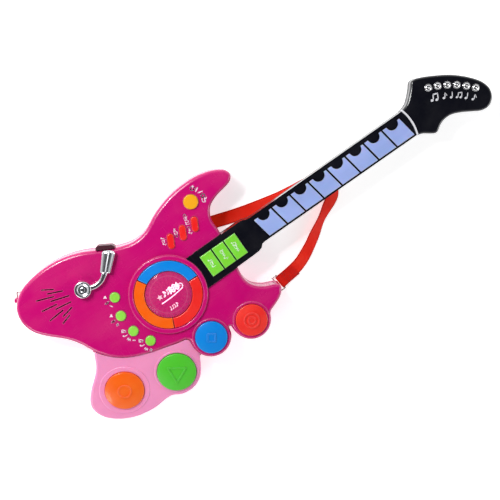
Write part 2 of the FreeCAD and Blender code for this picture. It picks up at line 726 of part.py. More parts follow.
def nut_sector(inner, outer, low, high):
    centre = NUT_X + 1.2 - NUT_RADIUS
    ring = tube(centre, NUT_MIDDLE_Y, outer, inner, low, high)
    return ring.common(box(350, 400, -40, 60, low - 1, high + 1))


def neck_outline():
    """The panel, its shoulders and the neck, seen from the front."""
    shoulder = NECK_START
    return [(HEEL_X[0], HEEL_Y[0]), (HEEL_X[1] - 4, HEEL_Y[0] + 1.2), (HEEL_X[1] + 1, HEEL_Y[0] + 2.6),
            (shoulder, NECK_Y[0] - 0.6), (shoulder + 5, NECK_Y[0]), (NUT_X + 4, NECK_Y[0]),
            (NUT_X + 4, NECK_Y[1]), (shoulder + 5, NECK_Y[1]), (shoulder, NECK_Y[1] + 0.6),
            (HEEL_X[1] + 1, HEEL_Y[1] - 1.4), (HEEL_X[1] - 4, HEEL_Y[1] - 0.6), (HEEL_X[0], HEEL_Y[1])]


def neck_face():
    corners = [point(x, y) for x, y in neck_outline()]
    return Part.Face(Part.makePolygon(corners + corners[:1]))


def before_nut(shape, grow):
    """Keep what lies on the body's side of the nut."""
    centre = NUT_X + 1.2 - NUT_RADIUS
    keep = fused([cylinder(centre, NUT_MIDDLE_Y, NUT_RADIUS - NUT_WIDTH - grow, 0, 60),
                  box(0, 345, -60, 60, 0, 60)])
    return shape.common(keep)


def key_corners(index, grow):
    middle = KEY_FIRST + KEY_WIDTH / 2 + index * KEY_PITCH - 1.2
    half = KEY_WIDTH / 2 + grow
    low, high = KEY_Y[0] - grow, KEY_Y[1] + grow
    return [(middle + KEY_LEAN / 2 - half, low), (middle + KEY_LEAN / 2 + half, low),
            (middle - KEY_LEAN / 2 + half, high), (middle - KEY_LEAN / 2 - half, high)]


def key_prism(index, grow, low, high):
    corners = [point(x, y) for x, y in key_corners(index, grow)]
    return prism(Part.Face(Part.makePolygon(corners + corners[:1])), low, high)


def notch_centre(index):
    return KEY_FIRST + KEY_WIDTH / 2 + index * KEY_PITCH - 2.6


def make_neck_key(index):
    cap = key_prism(index, 0, NECK_FACE - 3.4, KEY_TOP)
    cap = cap.makeChamfer(0.6, edges_at(cap, KEY_TOP))
    flange = key_prism(index, 0.7, NECK_FACE - 4.2, NECK_FACE - 2.4)
    notch = cylinder(notch_centre(index), KEY_Y[1] + 0.4, NOTCH_R + 0.35, 0, 60)
    return fused([cap, flange]).cut(notch)


def rhythm_box(x, grow, low, high):
    wide, tall = RHYTHM_SIZE
    return box(x - wide / 2 - grow, x + wide / 2 + grow, RHYTHM_Y - tall / 2 - grow,
               RHYTHM_Y + tall / 2 + grow, low, high)


def make_rhythm_key(x):
    cap = rhythm_box(x, 0, PANEL_FACE - 4, RHYTHM_TOP)
    cap = cap.makeFillet(1.0, edges_at(cap, RHYTHM_TOP))
    flange = rhythm_box(x, 0.5, PANEL_FACE - 4.6, PANEL_FACE - 2.6)
    foot = cylinder(x, RHYTHM_Y, 3, NECK_DOME_TOP + TRAVEL + 0.1, PANEL_FACE - 4.5)
    return fused([cap, flange, foot])


def panel_top():
    """The raised panel round the green keys, sloping down to the neck's face."""
    outer = neck_face().common(Part.Face(Part.makePolygon(
        [point(40, -60), point(140, -60), point(140, 60), point(40, 60), point(40, -60)])))
    lip = box(44, HEEL_X[0] + 1, HEEL_Y[0], HEEL_Y[1], FACE + 0.1, PANEL_FACE)
    block = prism(outer, NECK_FACE - 2, PANEL_FACE).fuse(lip).cut(cylinder(0, 0, BEZEL_R + 0.4, 30, 60))
    x0, x1 = PANEL_SLOPE_X
    ramp = [point(x0, -60, PANEL_FACE), point(x0, -60, 70), point(160, -60, 70), point(160, -60, NECK_FACE),
            point(x1, -60, NECK_FACE)]
    ramp = Part.Face(Part.makePolygon(ramp + ramp[:1])).extrude(point(0, 120, 0))
    return block.cut(ramp)


def make_neck_front():
    low = NECK_PARTING + SEAM / 2
    face = neck_face()
    shell = prism(face, low, NECK_FACE)
    shell = fused([shell, panel_top()])
    inner = face.makeOffset2D(-NECK_WALL)
    hollow = prism(inner, low - 1, NECK_FACE - 2)
    deep = box(HEEL_X[0] + 2, PANEL_SLOPE_X[0], HEEL_Y[0] + 2, HEEL_Y[1] - 2, low - 1, PANEL_FACE - 2)
    shell = shell.cut(hollow).cut(deep)
    post = cylinder(*NECK_SCREW, 3.4, NECK_BOARD_Z + 2, NECK_FACE - 1)
    post = post.cut(cylinder(*NECK_SCREW, SCREW_HOLE_R, 20, 38))
    shell = before_nut(shell.fuse(post), 0.15)
    holes = [rhythm_box(x, CLEAR, 30, 60) for x in RHYTHM_X]
    for index in range(KEY_COUNT):
        tab = cylinder(notch_centre(index), KEY_Y[1] + 0.4, NOTCH_R, 0, 60)
        holes.append(key_prism(index, CLEAR, NECK_FACE - 3, 60).cut(tab))
    return cut_all(shell, holes)


def neck_tongue(grow):
    """The flat bar of the rear neck that is screwed inside the head."""
    x0, x1, y0, y1, z0, z1 = NECK_TONGUE
    return box(x0, x1 + grow, y0 - grow, y1 + grow, z0 - grow, z1 + grow)


def make_neck_rear():
    top = NECK_PARTING - SEAM / 2
    low = NECK_BASE
    face = neck_face()
    shell = prism(face, low, top)
    sides = [e for e in edges_at(shell, low) if e.BoundBox.XMax > 140 and e.BoundBox.XLength > 100]
    shell = shell.makeFillet(5.0, sides)
    hollow = prism(face.makeOffset2D(-NECK_WALL), low + 2, NECK_BOARD_Z - 0.1)
    shell = shell.cut(hollow).cut(prism(face.makeOffset2D(-NECK_WALL), NECK_BOARD_Z - 0.2, top + 1))
    shell = before_nut(shell, 0.15)
    foot = box(NECK_TONGUE[0], 370, NECK_TONGUE[2], NECK_TONGUE[3], low + 1, NECK_TONGUE[5])
    posts = [cylinder(x, y, 3.4, low, NECK_BOARD_Z - 0.2) for x, y in HEEL_SCREWS + [NECK_SCREW]]
    rests = [cylinder(x, 2.5, 2.5, low, NECK_BOARD_Z - 0.1) for x in (160, 220, 280, 340)]
    shell = fused([shell, neck_tongue(0), foot] + posts + rests)
    holes = [cylinder(x, y, SCREW_HOLE_R, low - 1, 29) for x, y in HEEL_SCREWS]
    holes += [cylinder(*NECK_SCREW, 3.0, low - 1, 24.5), cylinder(*NECK_SCREW, SCREW_WAY_R, low, 40)]
    holes += [cylinder(*HEAD_SCREWS[0], SCREW_WAY_R, low, 40)]
    return cut_all(shell, holes)


def make_neck_board():
    board = box(61, 366, -9, 13, NECK_BOARD_Z, NECK_BOARD_Z + 1.4)
    return board.cut(cylinder(*NECK_SCREW, 4.2, 20, 40))


def make_neck_domes():
    key_places = [(KEY_FIRST + KEY_WIDTH / 2 + i * KEY_PITCH - 0.4, -2.0) for i in range(KEY_COUNT)]
    low = NECK_BOARD_Z + 1.5
    domes = [rubber_dome(x, y, low, NECK_DOME_TOP) for x, y in key_places]
    domes += [rubber_dome(x, RHYTHM_Y, low, NECK_DOME_TOP) for x in RHYTHM_X]
    return Part.makeCompound(domes)


def make_nut_strip():
    strip = nut_sector(NUT_RADIUS - NUT_WIDTH, NUT_RADIUS, NECK_PARTING + SEAM / 2, KEY_TOP)
    return strip.common(box(350, 400, NECK_Y[0], NECK_Y[1] + 0.9, 0, 60))


# Head

def past_nut(shape, grow):
    centre = NUT_X + 1.2 - NUT_RADIUS
    away = fused([cylinder(centre, NUT_MIDDLE_Y, NUT_RADIUS + grow, 0, 60), box(300, 366, -60, 60, 0, 60)])
    return shape.cut(away)


def make_head_front():
    face = outline(HEAD_EDGE)
    low = NECK_PARTING + SEAM / 2
    shell = prism(face, low, NECK_FACE)
    shell = shell.makeFillet(3.5, edges_at(shell, NECK_FACE))
    shell = past_nut(shell, 0.15)
    inner = past_nut(prism(face.makeOffset2D(-NECK_WALL), low - 1, NECK_FACE - 2), 2)
    shell = shell.cut(inner)
    posts = [cylinder(x, y, 3.4, low, NECK_FACE - 1).cut(cylinder(x, y, SCREW_HOLE_R, 20, 38))
             for x, y in HEAD_SCREWS]
    shell = fused([shell] + posts)
    return cut_all(shell, [cylinder(x, y, 2.0, NECK_FACE - 5, 60) for x, y in STUDS])


def make_head_rear():
    face = outline(HEAD_EDGE)
    low = NECK_BASE
    top = NECK_PARTING - SEAM / 2
    shell = prism(face, low, top)
    shell = shell.makeFillet(3.5, edges_at(shell, low))
    shell = past_nut(shell, -NUT_WIDTH + 0.1)
    inner = past_nut(prism(face.makeOffset2D(-NECK_WALL), low + 2, top + 1), 2)
    shell = shell.cut(inner)
    near, far = HEAD_SCREWS
    posts = [cylinder(*far, 3.4, low, top), cylinder(*near, 4.5, low, low + 3.3)]
    shell = fused([shell] + posts)
    holes = [neck_tongue(0.3), cylinder(*near, 3.0, low - 1, 22.5),
             cylinder(*near, SCREW_WAY_R, low, 30), cylinder(*far, 3.0, low - 1, 24.5),
             cylinder(*far, SCREW_WAY_R, low, 40)]
    return cut_all(shell, holes)


def make_tuner_studs():
    studs = []
    for x, y in STUDS:
        head = fused([cylinder(x, y, STUD_R, NECK_FACE + 0.05, NECK_FACE + 1.2),
                      dome(x, y, STUD_R, NECK_FACE + 1.1, 1.6)])
        studs.append(head.fuse(cylinder(x, y, 1.9, NECK_FACE - 4, NECK_FACE + 0.1)))
    return Part.makeCompound(studs)


# Lever

def make_tone_lever():
    x, y = LEVER_HUB
    hub = cylinder(x, y, LEVER_R, LEVER_LOW, LEVER_TOP)
    hub = hub.makeFillet(2.0, edges_at(hub, LEVER_TOP))
    hub = hub.cut(cone(x, y, 4.0, 6.5, LEVER_TOP - 2, LEVER_TOP + 0.01))
    stem = cylinder(x, y, LEVER_STEM_R, FACE - 13, LEVER_LOW + 1)
    paddle = prism(Part.Face(rounded_wire(PADDLE, 0.22)), *PADDLE_Z)
    paddle = paddle.makeChamfer(1.2, edges_at(paddle, PADDLE_Z[1]))
    groove = turned(box(-11, 11, -1.1, 1.1, 49.2, 52), 42).translated(point(-37.3, 77.6))
    return fused([hub, stem, paddle.cut(groove)] + lever_arm())


def lever_arm():
    """Flat links from the hub to the paddle, round at each joint."""
    low, high = ARM_Z
    pieces = [cylinder(x, y, ARM_HALF, low, high) for x, y in ARM_ROUTE]
    for (ax, ay), (bx, by) in zip(ARM_ROUTE, ARM_ROUTE[1:]):
        link = box(0, math.hypot(bx - ax, by - ay), -ARM_HALF, ARM_HALF, low, high)
        pieces.append(turned(link, math.degrees(math.atan2(by - ay, bx - ax))).translated(point(ax, ay)))
    return pieces


def make_lever_spring():
    """A torsion spring round the lever's stem, as closed coils."""
    x, y = LEVER_HUB
    coils = [Part.makeTorus(5.2, 0.5, point(x, y, 29.9 + 1.02 * index)) for index in range(3)]
    return Part.makeCompound(coils)


def make_lever_washer():
    """The retaining clip that keeps the stem in the face."""
    x, y = LEVER_HUB
    return tube(x, y, 6.0, 3.68, FACE - 9.4, FACE - 8.2)


def make_arm_rest():
    """The dark block on the body's edge that the lever's paddle rests over."""
    corners = [(-43, 93), (-40, 99.5), (-36, 100.5), (-21, 91.5), (-19, 87.5), (-24, 82)]
    block = prism(Part.Face(rounded_wire(corners, 0.25)), PARTING + 4, FACE + 1.6)
    body = prism(outline(body_corners()).makeOffset2D(SEAM), 0, 80)
    return block.cut(body)


# Strap

def strap_wire():
    """Straight runs joined by tangent arcs along the strap's middle line."""
    places = [point(x, y, STRAP_Z) for x, y in STRAP_ROUTE]
    edges = []
    last = places[0]
    radii = []
    for index in range(1, len(places) - 1):
        before = places[index - 1] - places[index]
        after = places[index + 1] - places[index]
        shorter = min(before.Length, after.Length)
        start, middle, end = corner_arc(places[index], before, after, STRAP_SPACING)
        half_turn = (math.pi - (start - places[index]).getAngle(end - places[index])) / 2
        radii.append(STRAP_SPACING * shorter / math.tan(half_turn))
        edges += [Part.makeLine(last, start), Part.Arc(start, middle, end).toShape()]
        last = end
    edges.append(Part.makeLine(last, places[-1]))
    return Part.Wire(edges), radii


def make_strap():
    wire, radii = strap_wire()
    first = wire.Edges[0]
    along = first.tangentAt(first.FirstParameter)
    side = Vector(-along.y, along.x, 0) * (STRAP_WIDTH / 2)
    start = point(*STRAP_ROUTE[0], STRAP_Z - STRAP_THICK / 2)
    rise = Vector(0, 0, STRAP_THICK)
    corners = [start - side, start + side, start + side + rise, start - side + rise]
    profile = Part.makePolygon(corners + corners[:1])
    solid = wire.makePipeShell([profile], True, True)
    print("strap length", round(wire.Length, 1), "smallest radius", round(min(radii), 1))
    print("strap radii", [round(radius) for radius in radii])
    print("strap volume", round(solid.Volume), "section times length",
          round(STRAP_WIDTH * STRAP_THICK * wire.Length))
    return solid


def all_pieces():
    pieces = {
        "front_shell": make_front_shell(),
        "rear_shell": make_rear_shell(),
        "wing_cover": make_wing_cover(),
        "neck_front": make_neck_front(),
        "neck_rear": make_neck_rear(),
        "head_front": make_head_front(),
        "head_rear": make_head_rear(),
        "nut_strip": make_nut_strip(),
        "tuner_studs": make_tuner_studs(),
        "dome_base": make_dome_base(),
        "dome_print": make_dome_print(),
        "dome_lens": make_dome_lens(),
        "power_button": make_round_button(*POWER_BUTTON, POWER_R, 3.0),
        "tone_lever": make_tone_lever(),
        "lever_spring": make_lever_spring(),
        "lever_washer": make_lever_washer(),
        "arm_rest": make_arm_rest(),
        "speaker_frame": make_speaker_frame(),
        "speaker_cone": make_speaker_cone(),
        "speaker_magnet": make_speaker_magnet(),
        "main_board": make_main_board(),
        "board_parts": make_board_parts(),
        "neck_board": make_neck_board(),
        "button_domes": make_button_domes(),
        "neck_domes": make_neck_domes(),
        "switch_boards": make_switch_boards(),
        "pad_domes": make_pad_domes(),
        "leds": make_leds(),
        "batteries": make_batteries(),
        "battery_contacts": make_battery_contacts(),
        "battery_door": make_battery_door(),
        "door_screw": make_door_screw(),
        "case_screws": make_case_screws(),
        "strap_rings": make_strap_rings(),
        "strap_webbing": make_strap(),
    }
    for name, (start, end) in RING_PARTS.items():
        pieces["ring_button_" + name] = make_ring_button(start, end)
    for name in PADS:
        pieces["pad_" + name] = make_pad(name)
    for name, (x, y) in SMALL_BUTTONS.items():
        pieces[name + "_button"] = make_round_button(x, y, SMALL_R, 2.4)
    for index, (x, y) in enumerate(MODE_BUTTONS, start=1):
        pieces[f"mode_button_{index}"] = make_mode_button(x, y)
    for index, x in enumerate(RHYTHM_X, start=1):
        pieces[f"rhythm_key_{index}"] = make_rhythm_key(x)
    for index in range(KEY_COUNT):
        pieces[f"neck_key_{index + 1}"] = make_neck_key(index)
    return pieces


def main():
    os.makedirs("parts", exist_ok=True)
    total = FreeCAD.BoundBox()
    for name, shape in all_pieces().items():
        placed = shape.translated(point(-CENTRE_X, -CENTRE_Y))
        if not placed.isValid():
            print("not valid:", name)
        placed.exportStep(f"parts/{name}.step")
        if name != "strap_webbing":
            total.add(placed.BoundBox)
    print("size", [round(v, 2) for v in (total.XLength, total.YLength, total.ZLength)])
    print("middle", round(total.Center.x, 2), round(total.Center.y, 2), "lowest", round(total.ZMin, 2))


main()
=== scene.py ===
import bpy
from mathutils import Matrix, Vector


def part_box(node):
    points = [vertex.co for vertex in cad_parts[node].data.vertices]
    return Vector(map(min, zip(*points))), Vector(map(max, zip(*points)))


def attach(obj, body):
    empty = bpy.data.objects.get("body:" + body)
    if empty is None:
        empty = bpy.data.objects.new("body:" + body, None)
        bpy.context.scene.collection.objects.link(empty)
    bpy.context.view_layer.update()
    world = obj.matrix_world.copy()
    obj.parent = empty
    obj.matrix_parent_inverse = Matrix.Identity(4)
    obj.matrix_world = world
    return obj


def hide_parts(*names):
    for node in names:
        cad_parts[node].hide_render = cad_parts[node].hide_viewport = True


bl_info = {
    "name": "Toy Electric Guitar",
    "version": (1, 0, 0),
    "blender": (4, 5, 0),
    "location": "View3D > Sidebar > Guitar",
    "description": "Finishes, prints, chrome, strap and stage for a child's electronic guitar",
    "category": "Object",
}

import math

import bmesh
import bpy
from mathutils import Matrix, Vector

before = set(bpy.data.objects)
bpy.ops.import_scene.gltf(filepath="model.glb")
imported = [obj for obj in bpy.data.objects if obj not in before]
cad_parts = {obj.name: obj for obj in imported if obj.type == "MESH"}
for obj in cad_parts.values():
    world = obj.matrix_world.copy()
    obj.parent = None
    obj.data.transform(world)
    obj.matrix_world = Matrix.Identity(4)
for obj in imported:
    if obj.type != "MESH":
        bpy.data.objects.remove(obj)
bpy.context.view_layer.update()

MM = 0.001


def middle(node):
    low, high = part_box(node)
    return (low + high) / 2


def top(node):
    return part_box(node)[1].z


# Places on the guitar are given in mm from the middle of the play disc, and
# heights in mm above the floor.  X runs to the head and Y to the upper horn.
DISC = middle("dome_base")
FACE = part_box("dome_base")[1].z / MM - 0.5
NECK_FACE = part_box("tuner_studs")[0].z / MM + 4.0


def at(x, y, z=0.0):
    return Vector((DISC.x + x * MM, DISC.y + y * MM, z * MM))


def from_disc(spot):
    """The X and Y of a point in the frame, in mm from the play disc."""
    return (spot.x - DISC.x) / MM, (spot.y - DISC.y) / MM


def paint(red, green, blue):
    """A display colour from 0 to 255 as the linear colour that a socket takes."""
    return tuple(((part / 255 + 0.055) / 1.055) ** 2.4 if part > 10 else part / 3294.6
                 for part in (red, green, blue))


# What a user may change

def colour_choice(name, words, red, green, blue):
    return bpy.props.FloatVectorProperty(
        name=name, description=words, subtype="COLOR", size=3, min=0.0, max=1.0,
        default=paint(red, green, blue))


def length_choice(name, words, millimetres):
    return bpy.props.FloatProperty(
        name=name, description=words, subtype="DISTANCE", unit="LENGTH", min=0.0,
        precision=5, default=millimetres * MM)


def share_choice(name, words, value):
    return bpy.props.FloatProperty(
        name=name, description=words, subtype="FACTOR", min=0.0, max=1.0, default=value)


class GuitarColours(bpy.types.PropertyGroup):
    magenta: colour_choice("Magenta", "The body's shells", 205, 0, 114)
    dome: colour_choice("Dome", "The tinted dome over the play disc's print", 232, 0, 130)
    pink: colour_choice("Pink", "The sloping cover under the large pads", 252, 154, 202)
    black: colour_choice("Black", "The neck, the head and the key panel", 8, 9, 20)
    white: colour_choice("White", "The nut strip", 236, 236, 242)
    blue: colour_choice("Blue", "The blue play button and pad", 0, 138, 232)
    orange: colour_choice("Orange", "The orange play button and pad", 255, 102, 0)
    red: colour_choice("Red", "The red play button, pad and mode buttons", 246, 40, 36)
    green: colour_choice("Green", "The green pad", 84, 208, 54)
    amber: colour_choice("Amber", "The power button", 250, 174, 16)
    lime: colour_choice("Lime", "The volume and tempo buttons", 150, 226, 72)
    key_green: colour_choice("Key green", "The rhythm keys", 132, 228, 66)
    lavender: colour_choice("Lavender", "The neck keys", 164, 184, 244)
    # This maroon is painted shade: a dark colour for the lug under the lever's tip, where the body's rim lies
    # in shade.
    painted_shade_maroon: colour_choice("Maroon", "The block under the lever's tip", 66, 4, 30)
    webbing: colour_choice("Webbing", "The shoulder strap", 255, 26, 10)
    webbing_edge: colour_choice("Webbing edge", "The strap's selvedge", 168, 8, 8)
    ink: colour_choice("Ink", "The printed signs", 255, 226, 244)
    key_ink: colour_choice("Key ink", "The signs on the green keys", 232, 255, 226)


class GuitarSizes(bpy.types.PropertyGroup):
    strap_width: length_choice("Strap width", "Width of the webbing", 17.2)
    strap_thickness: length_choice("Strap thickness", "Thickness of the webbing", 1.2)
    stitch_length: length_choice("Stitch length", "Length of one stitch", 2.6)
    stitch_width: length_choice("Stitch width", "Thickness of the sewing thread", 0.42)
    stitch_pitch: length_choice("Stitch pitch", "From one stitch to the next", 3.6)
    print_height: length_choice("Ink height", "How far the ink stands up", 0.04)
    # This share sets the rubbed edges, and with them the painted highlight along the pale keys' rims.
    edge_wear_and_highlight: share_choice("Edge wear", "How much the moulded edges are rubbed", 0.4)
    dust: share_choice("Dust", "How much dust lies on the upper faces", 0.03)


def colours():
    return bpy.context.scene.guitar_colours


def sizes():
    return bpy.context.scene.guitar_sizes


# Shader nodes

WHITE = (1.0, 1.0, 1.0, 1.0)


def connect(tree, value, socket):
    """A link to the socket where the value comes out of a node, or else the value itself."""
    if isinstance(value, Flow):
        value = value.socket
    if isinstance(value, bpy.types.NodeSocket):
        tree.links.new(value, socket)
    else:
        socket.default_value = value


def add_node(tree, kind, values=None, **settings):
    """A node whose sockets take the values given by name or number."""
    node = tree.nodes.new(kind)
    for name, value in settings.items():
        setattr(node, name, value)
    for key, value in (values or {}).items():
        connect(tree, value, node.inputs[key])
    return node


class Flow:
    """What comes out of a node, ready for sums, mixes and textures in the same tree."""

    def __init__(self, tree, socket):
        self.tree = tree
        self.socket = socket

    def node(self, kind, values=None, output=0, **settings):
        """What comes out of a new node in the same tree."""
        return Flow(self.tree, add_node(self.tree, kind, values, **settings).outputs[output])

    def other(self, output):
        """Another output of the same node."""
        return Flow(self.tree, self.socket.node.outputs[output])

    def maths(self, operation, *others, clamp=False):
        values = dict(enumerate((self, *others)))
        return self.node("ShaderNodeMath", values, operation=operation, use_clamp=clamp)

    def __add__(self, other):
        return self.maths("ADD", other)

    def __sub__(self, other):
        return self.maths("SUBTRACT", other)

    def __mul__(self, other):
        return self.maths("MULTIPLY", other)

    def __truediv__(self, other):
        return self.maths("DIVIDE", other)

    def mix(self, first, second):
        """Two colours mixed by this share."""
        return self.node("ShaderNodeMix", {"Factor": self, 6: first, 7: second}, 2, data_type="RGBA")

    def spread(self, low, high, new_low=0.0, new_high=1.0):
        """The value stretched from one range to another, and held inside it."""
        return self.node("ShaderNodeMapRange", {
            "Value": self, "From Min": low, "From Max": high, "To Min": new_low, "To Max": new_high})

    def noise(self, scale, detail=2.0, roughness=0.5):
        return self.node("ShaderNodeTexNoise", {
            "Vector": self, "Scale": scale, "Detail": detail, "Roughness": roughness})

    def mapped(self, **values):
        return self.node("ShaderNodeMapping", {"Vector": self, **values})

    def parts(self):
        """The X, Y and Z of a vector."""
        across = self.node("ShaderNodeSeparateXYZ", {0: self})
        return across, across.other(1), across.other(2)

    def to(self, socket):
        self.tree.links.new(self.socket, socket)


def coordinates(tree, kind="Object"):
    return Flow(tree, tree.nodes.new("ShaderNodeTexCoord").outputs[kind])


def new_group(name, inputs, outputs):
    """An empty shader group: what comes in, its outputs and a place to start textures from."""
    group = bpy.data.node_groups.new(name, "ShaderNodeTree")
    for label, value in inputs.items():
        kind = {3: "Vector", 4: "Color"}[len(value)] if isinstance(value, tuple) else "Float"
        socket = group.interface.new_socket(label, in_out="INPUT", socket_type="NodeSocket" + kind)
        socket.default_value = value
    for label in outputs:
        kind = "Color" if label == "Colour" else "Float"
        group.interface.new_socket(label, in_out="OUTPUT", socket_type="NodeSocket" + kind)
    start = group.nodes.new("NodeGroupInput")
    end = group.nodes.new("NodeGroupOutput")
    return {label: Flow(group, start.outputs[label]) for label in inputs}, end.inputs, coordinates(group)


def make_moulded_skin():
    """Moulded plastic: slow drift of the colour, flow marks, fine orange peel and hairline scuffs."""
    given, result, place = new_group("moulded_skin", {
        "Colour": (0.5, 0.5, 0.5, 1.0), "Drift": 0.08, "Roughness": 0.25, "Scuffs": 0.2,
        "Grain Scale": 900.0}, ["Colour", "Roughness", "Height"])
    marks = place.mapped(Scale=(9.0, 60.0, 30.0), Rotation=(0.0, 0.0, 0.6)).noise(1.0, 3.0)
    shade = ((place.noise(16.0, 3.0) - 0.5) * 1.6 + (marks - 0.5)) * given["Drift"]
    bright = place.node("ShaderNodeHueSaturation", {
        "Hue": shade * 0.06 + 0.5, "Saturation": shade * -0.4 + 1.0, "Value": shade * 1.2 + 1.0,
        "Color": given["Colour"]})
    hairs = place.mapped(Scale=(40.0, 900.0, 40.0), Rotation=(0.0, 0.0, 0.35)).noise(1.0).spread(0.64, 0.74)
    cross = place.mapped(Scale=(700.0, 30.0, 30.0), Rotation=(0.0, 0.0, 0.9)).noise(1.0).spread(0.66, 0.76)
    scuffs = hairs.maths("MAXIMUM", cross) * given["Scuffs"]
    (scuffs * 0.04).mix(bright, WHITE).to(result["Colour"])
    rough = place.noise(60.0, 3.0) * 0.12 + given["Roughness"]
    rough.maths("ADD", scuffs * 0.35, clamp=True).to(result["Roughness"])
    height = place.noise(160.0, 1.0) * 0.8 + place.noise(given["Grain Scale"], 2.0)
    (height - scuffs * 0.6).to(result["Height"])


def make_edge_wear_and_highlight():
    """A mask of the edges and rims, broken up where hands rub them less: rubbed wear, which on the pale keys
    also serves as a painted highlight along their rounded rims.
    """
    given, result, place = new_group("edge_wear_and_highlight", {"Width": 0.0009, "Amount": 0.4, "Break Up": 0.5}, ["Mask"])
    soft = place.node("ShaderNodeBevel", {"Radius": given["Width"]}, samples=4)
    true = place.node("ShaderNodeNewGeometry", output="Normal")
    agree = place.node("ShaderNodeVectorMath", {0: soft, 1: true}, "Value", operation="DOT_PRODUCT")
    uneven = given["Break Up"].mix(WHITE, place.noise(120.0, 3.0, 0.6).spread(0.35, 0.65))
    (agree.spread(0.995, 0.86) * uneven * given["Amount"]).to(result["Mask"])


def make_settled_dust():
    """A mask of the dust that lies on faces that look up."""
    given, result, place = new_group("settled_dust", {"Amount": 0.15, "Speck Scale": 1100.0}, ["Mask"])
    up = place.node("ShaderNodeNewGeometry", output="Normal").parts()[2]
    film = place.noise(34.0, 4.0, 0.65).spread(0.42, 0.78) * 0.45
    specks = place.noise(given["Speck Scale"], 1.0).spread(0.71, 0.76)
    (film.maths("MAXIMUM", specks) * up.spread(0.2, 0.9) * given["Amount"]).to(result["Mask"])


def make_metal_grain():
    """Fine rolled or turned lines, with dull spots."""
    given, result, place = new_group("metal_grain", {
        "Stretch": (40.0, 1600.0, 40.0), "Roughness": 0.2, "Spots": 0.3}, ["Roughness", "Height", "Spots"])
    drawn = place.node("ShaderNodeVectorMath", {0: place, 1: given["Stretch"]}, operation="MULTIPLY")
    lines = drawn.noise(1.0, 3.0)
    spots = place.noise(420.0, 4.0, 0.6).spread(0.55, 0.75) * given["Spots"]
    rough = lines * 0.1 + given["Roughness"]
    rough.maths("ADD", spots * 0.25, clamp=True).to(result["Roughness"])
    lines.to(result["Height"])
    spots.to(result["Spots"])


def ribs(distance, pitch):
    """Ribs at a pitch along a distance, from 0 to 1."""
    return (distance / pitch * (2 * math.pi)).maths("SINE") * 0.5 + 0.5


def make_webbing_weave():
    """A woven ribbon's ribs across, its chevrons along, and the selvedge, from its own UV map in metres."""
    given, result, place = new_group("webbing_weave", {
        "Width": 0.018, "Rib Pitch": 0.0011, "Selvedge": 0.0014}, ["Height", "Selvedge", "Thread Shade"])
    uv = coordinates(place.tree, "UV")
    across, lengthways, _ = uv.parts()
    chevron = across.maths("PINGPONG", given["Width"] * 0.25)
    rib = ribs(lengthways + chevron * 0.8, given["Rib Pitch"])
    warp = ribs(across, given["Rib Pitch"])
    fuzz = uv.mapped(Scale=(3000.0, 700.0, 1.0)).noise(1.0, 2.0)
    (fuzz * 0.5 + (warp * 0.6 + rib)).to(result["Height"])
    off_middle = (across - given["Width"] * 0.5).maths("ABSOLUTE")
    off_middle.maths("GREATER_THAN", given["Width"] * 0.5 - given["Selvedge"]).to(result["Selvedge"])
    (rib * warp * 0.5 + fuzz * 0.5).to(result["Thread Shade"])


GROUP_MAKERS = {
    "moulded_skin": make_moulded_skin,
    "edge_wear_and_highlight": make_edge_wear_and_highlight,
    "settled_dust": make_settled_dust,
    "metal_grain": make_metal_grain,
    "webbing_weave": make_webbing_weave,
}


# Materials

def solid(colour):
    return (*colour[:3], 1.0)


def lightened(colour, share):
    """The colour moved towards white by a share."""
    return (*(part + (1.0 - part) * share for part in colour[:3]), 1.0)


def darkened(colour, share):
    return (*(part * share for part in colour[:3]), 1.0)


class Finish:
    """A new material, with plain values on its shader's own sockets."""

    def __init__(self, name, **sockets):
        self.material = bpy.data.materials.new(name)
        self.material.use_nodes = True
        self.tree = self.material.node_tree
        self.sockets = self.tree.nodes["Principled BSDF"].inputs
        self.place = coordinates(self.tree)
        for label, value in sockets.items():
            self.sockets[label.replace("_", " ")].default_value = value

    def effect(self, name, values):
        """What comes out of a shared effect placed here with its own values."""
        if name not in bpy.data.node_groups:
            GROUP_MAKERS[name]()
        node = add_node(self.tree, "ShaderNodeGroup", node_tree=bpy.data.node_groups[name])
        for key, value in values.items():
            connect(self.tree, value, node.inputs[key])
        return {output.name: Flow(self.tree, output) for output in node.outputs}

    def dress(self, colour, roughness, height=None, depth=0.0, strength=1.0):
        """The material with its colour, its roughness and, if there is one, its relief."""
        connect(self.tree, colour, self.sockets["Base Color"])
        connect(self.tree, roughness, self.sockets["Roughness"])
        if height is not None:
            relief = {"Height": height, "Distance": depth, "Strength": strength}
            self.place.node("ShaderNodeBump", relief).to(self.sockets["Normal"])
        return self.material


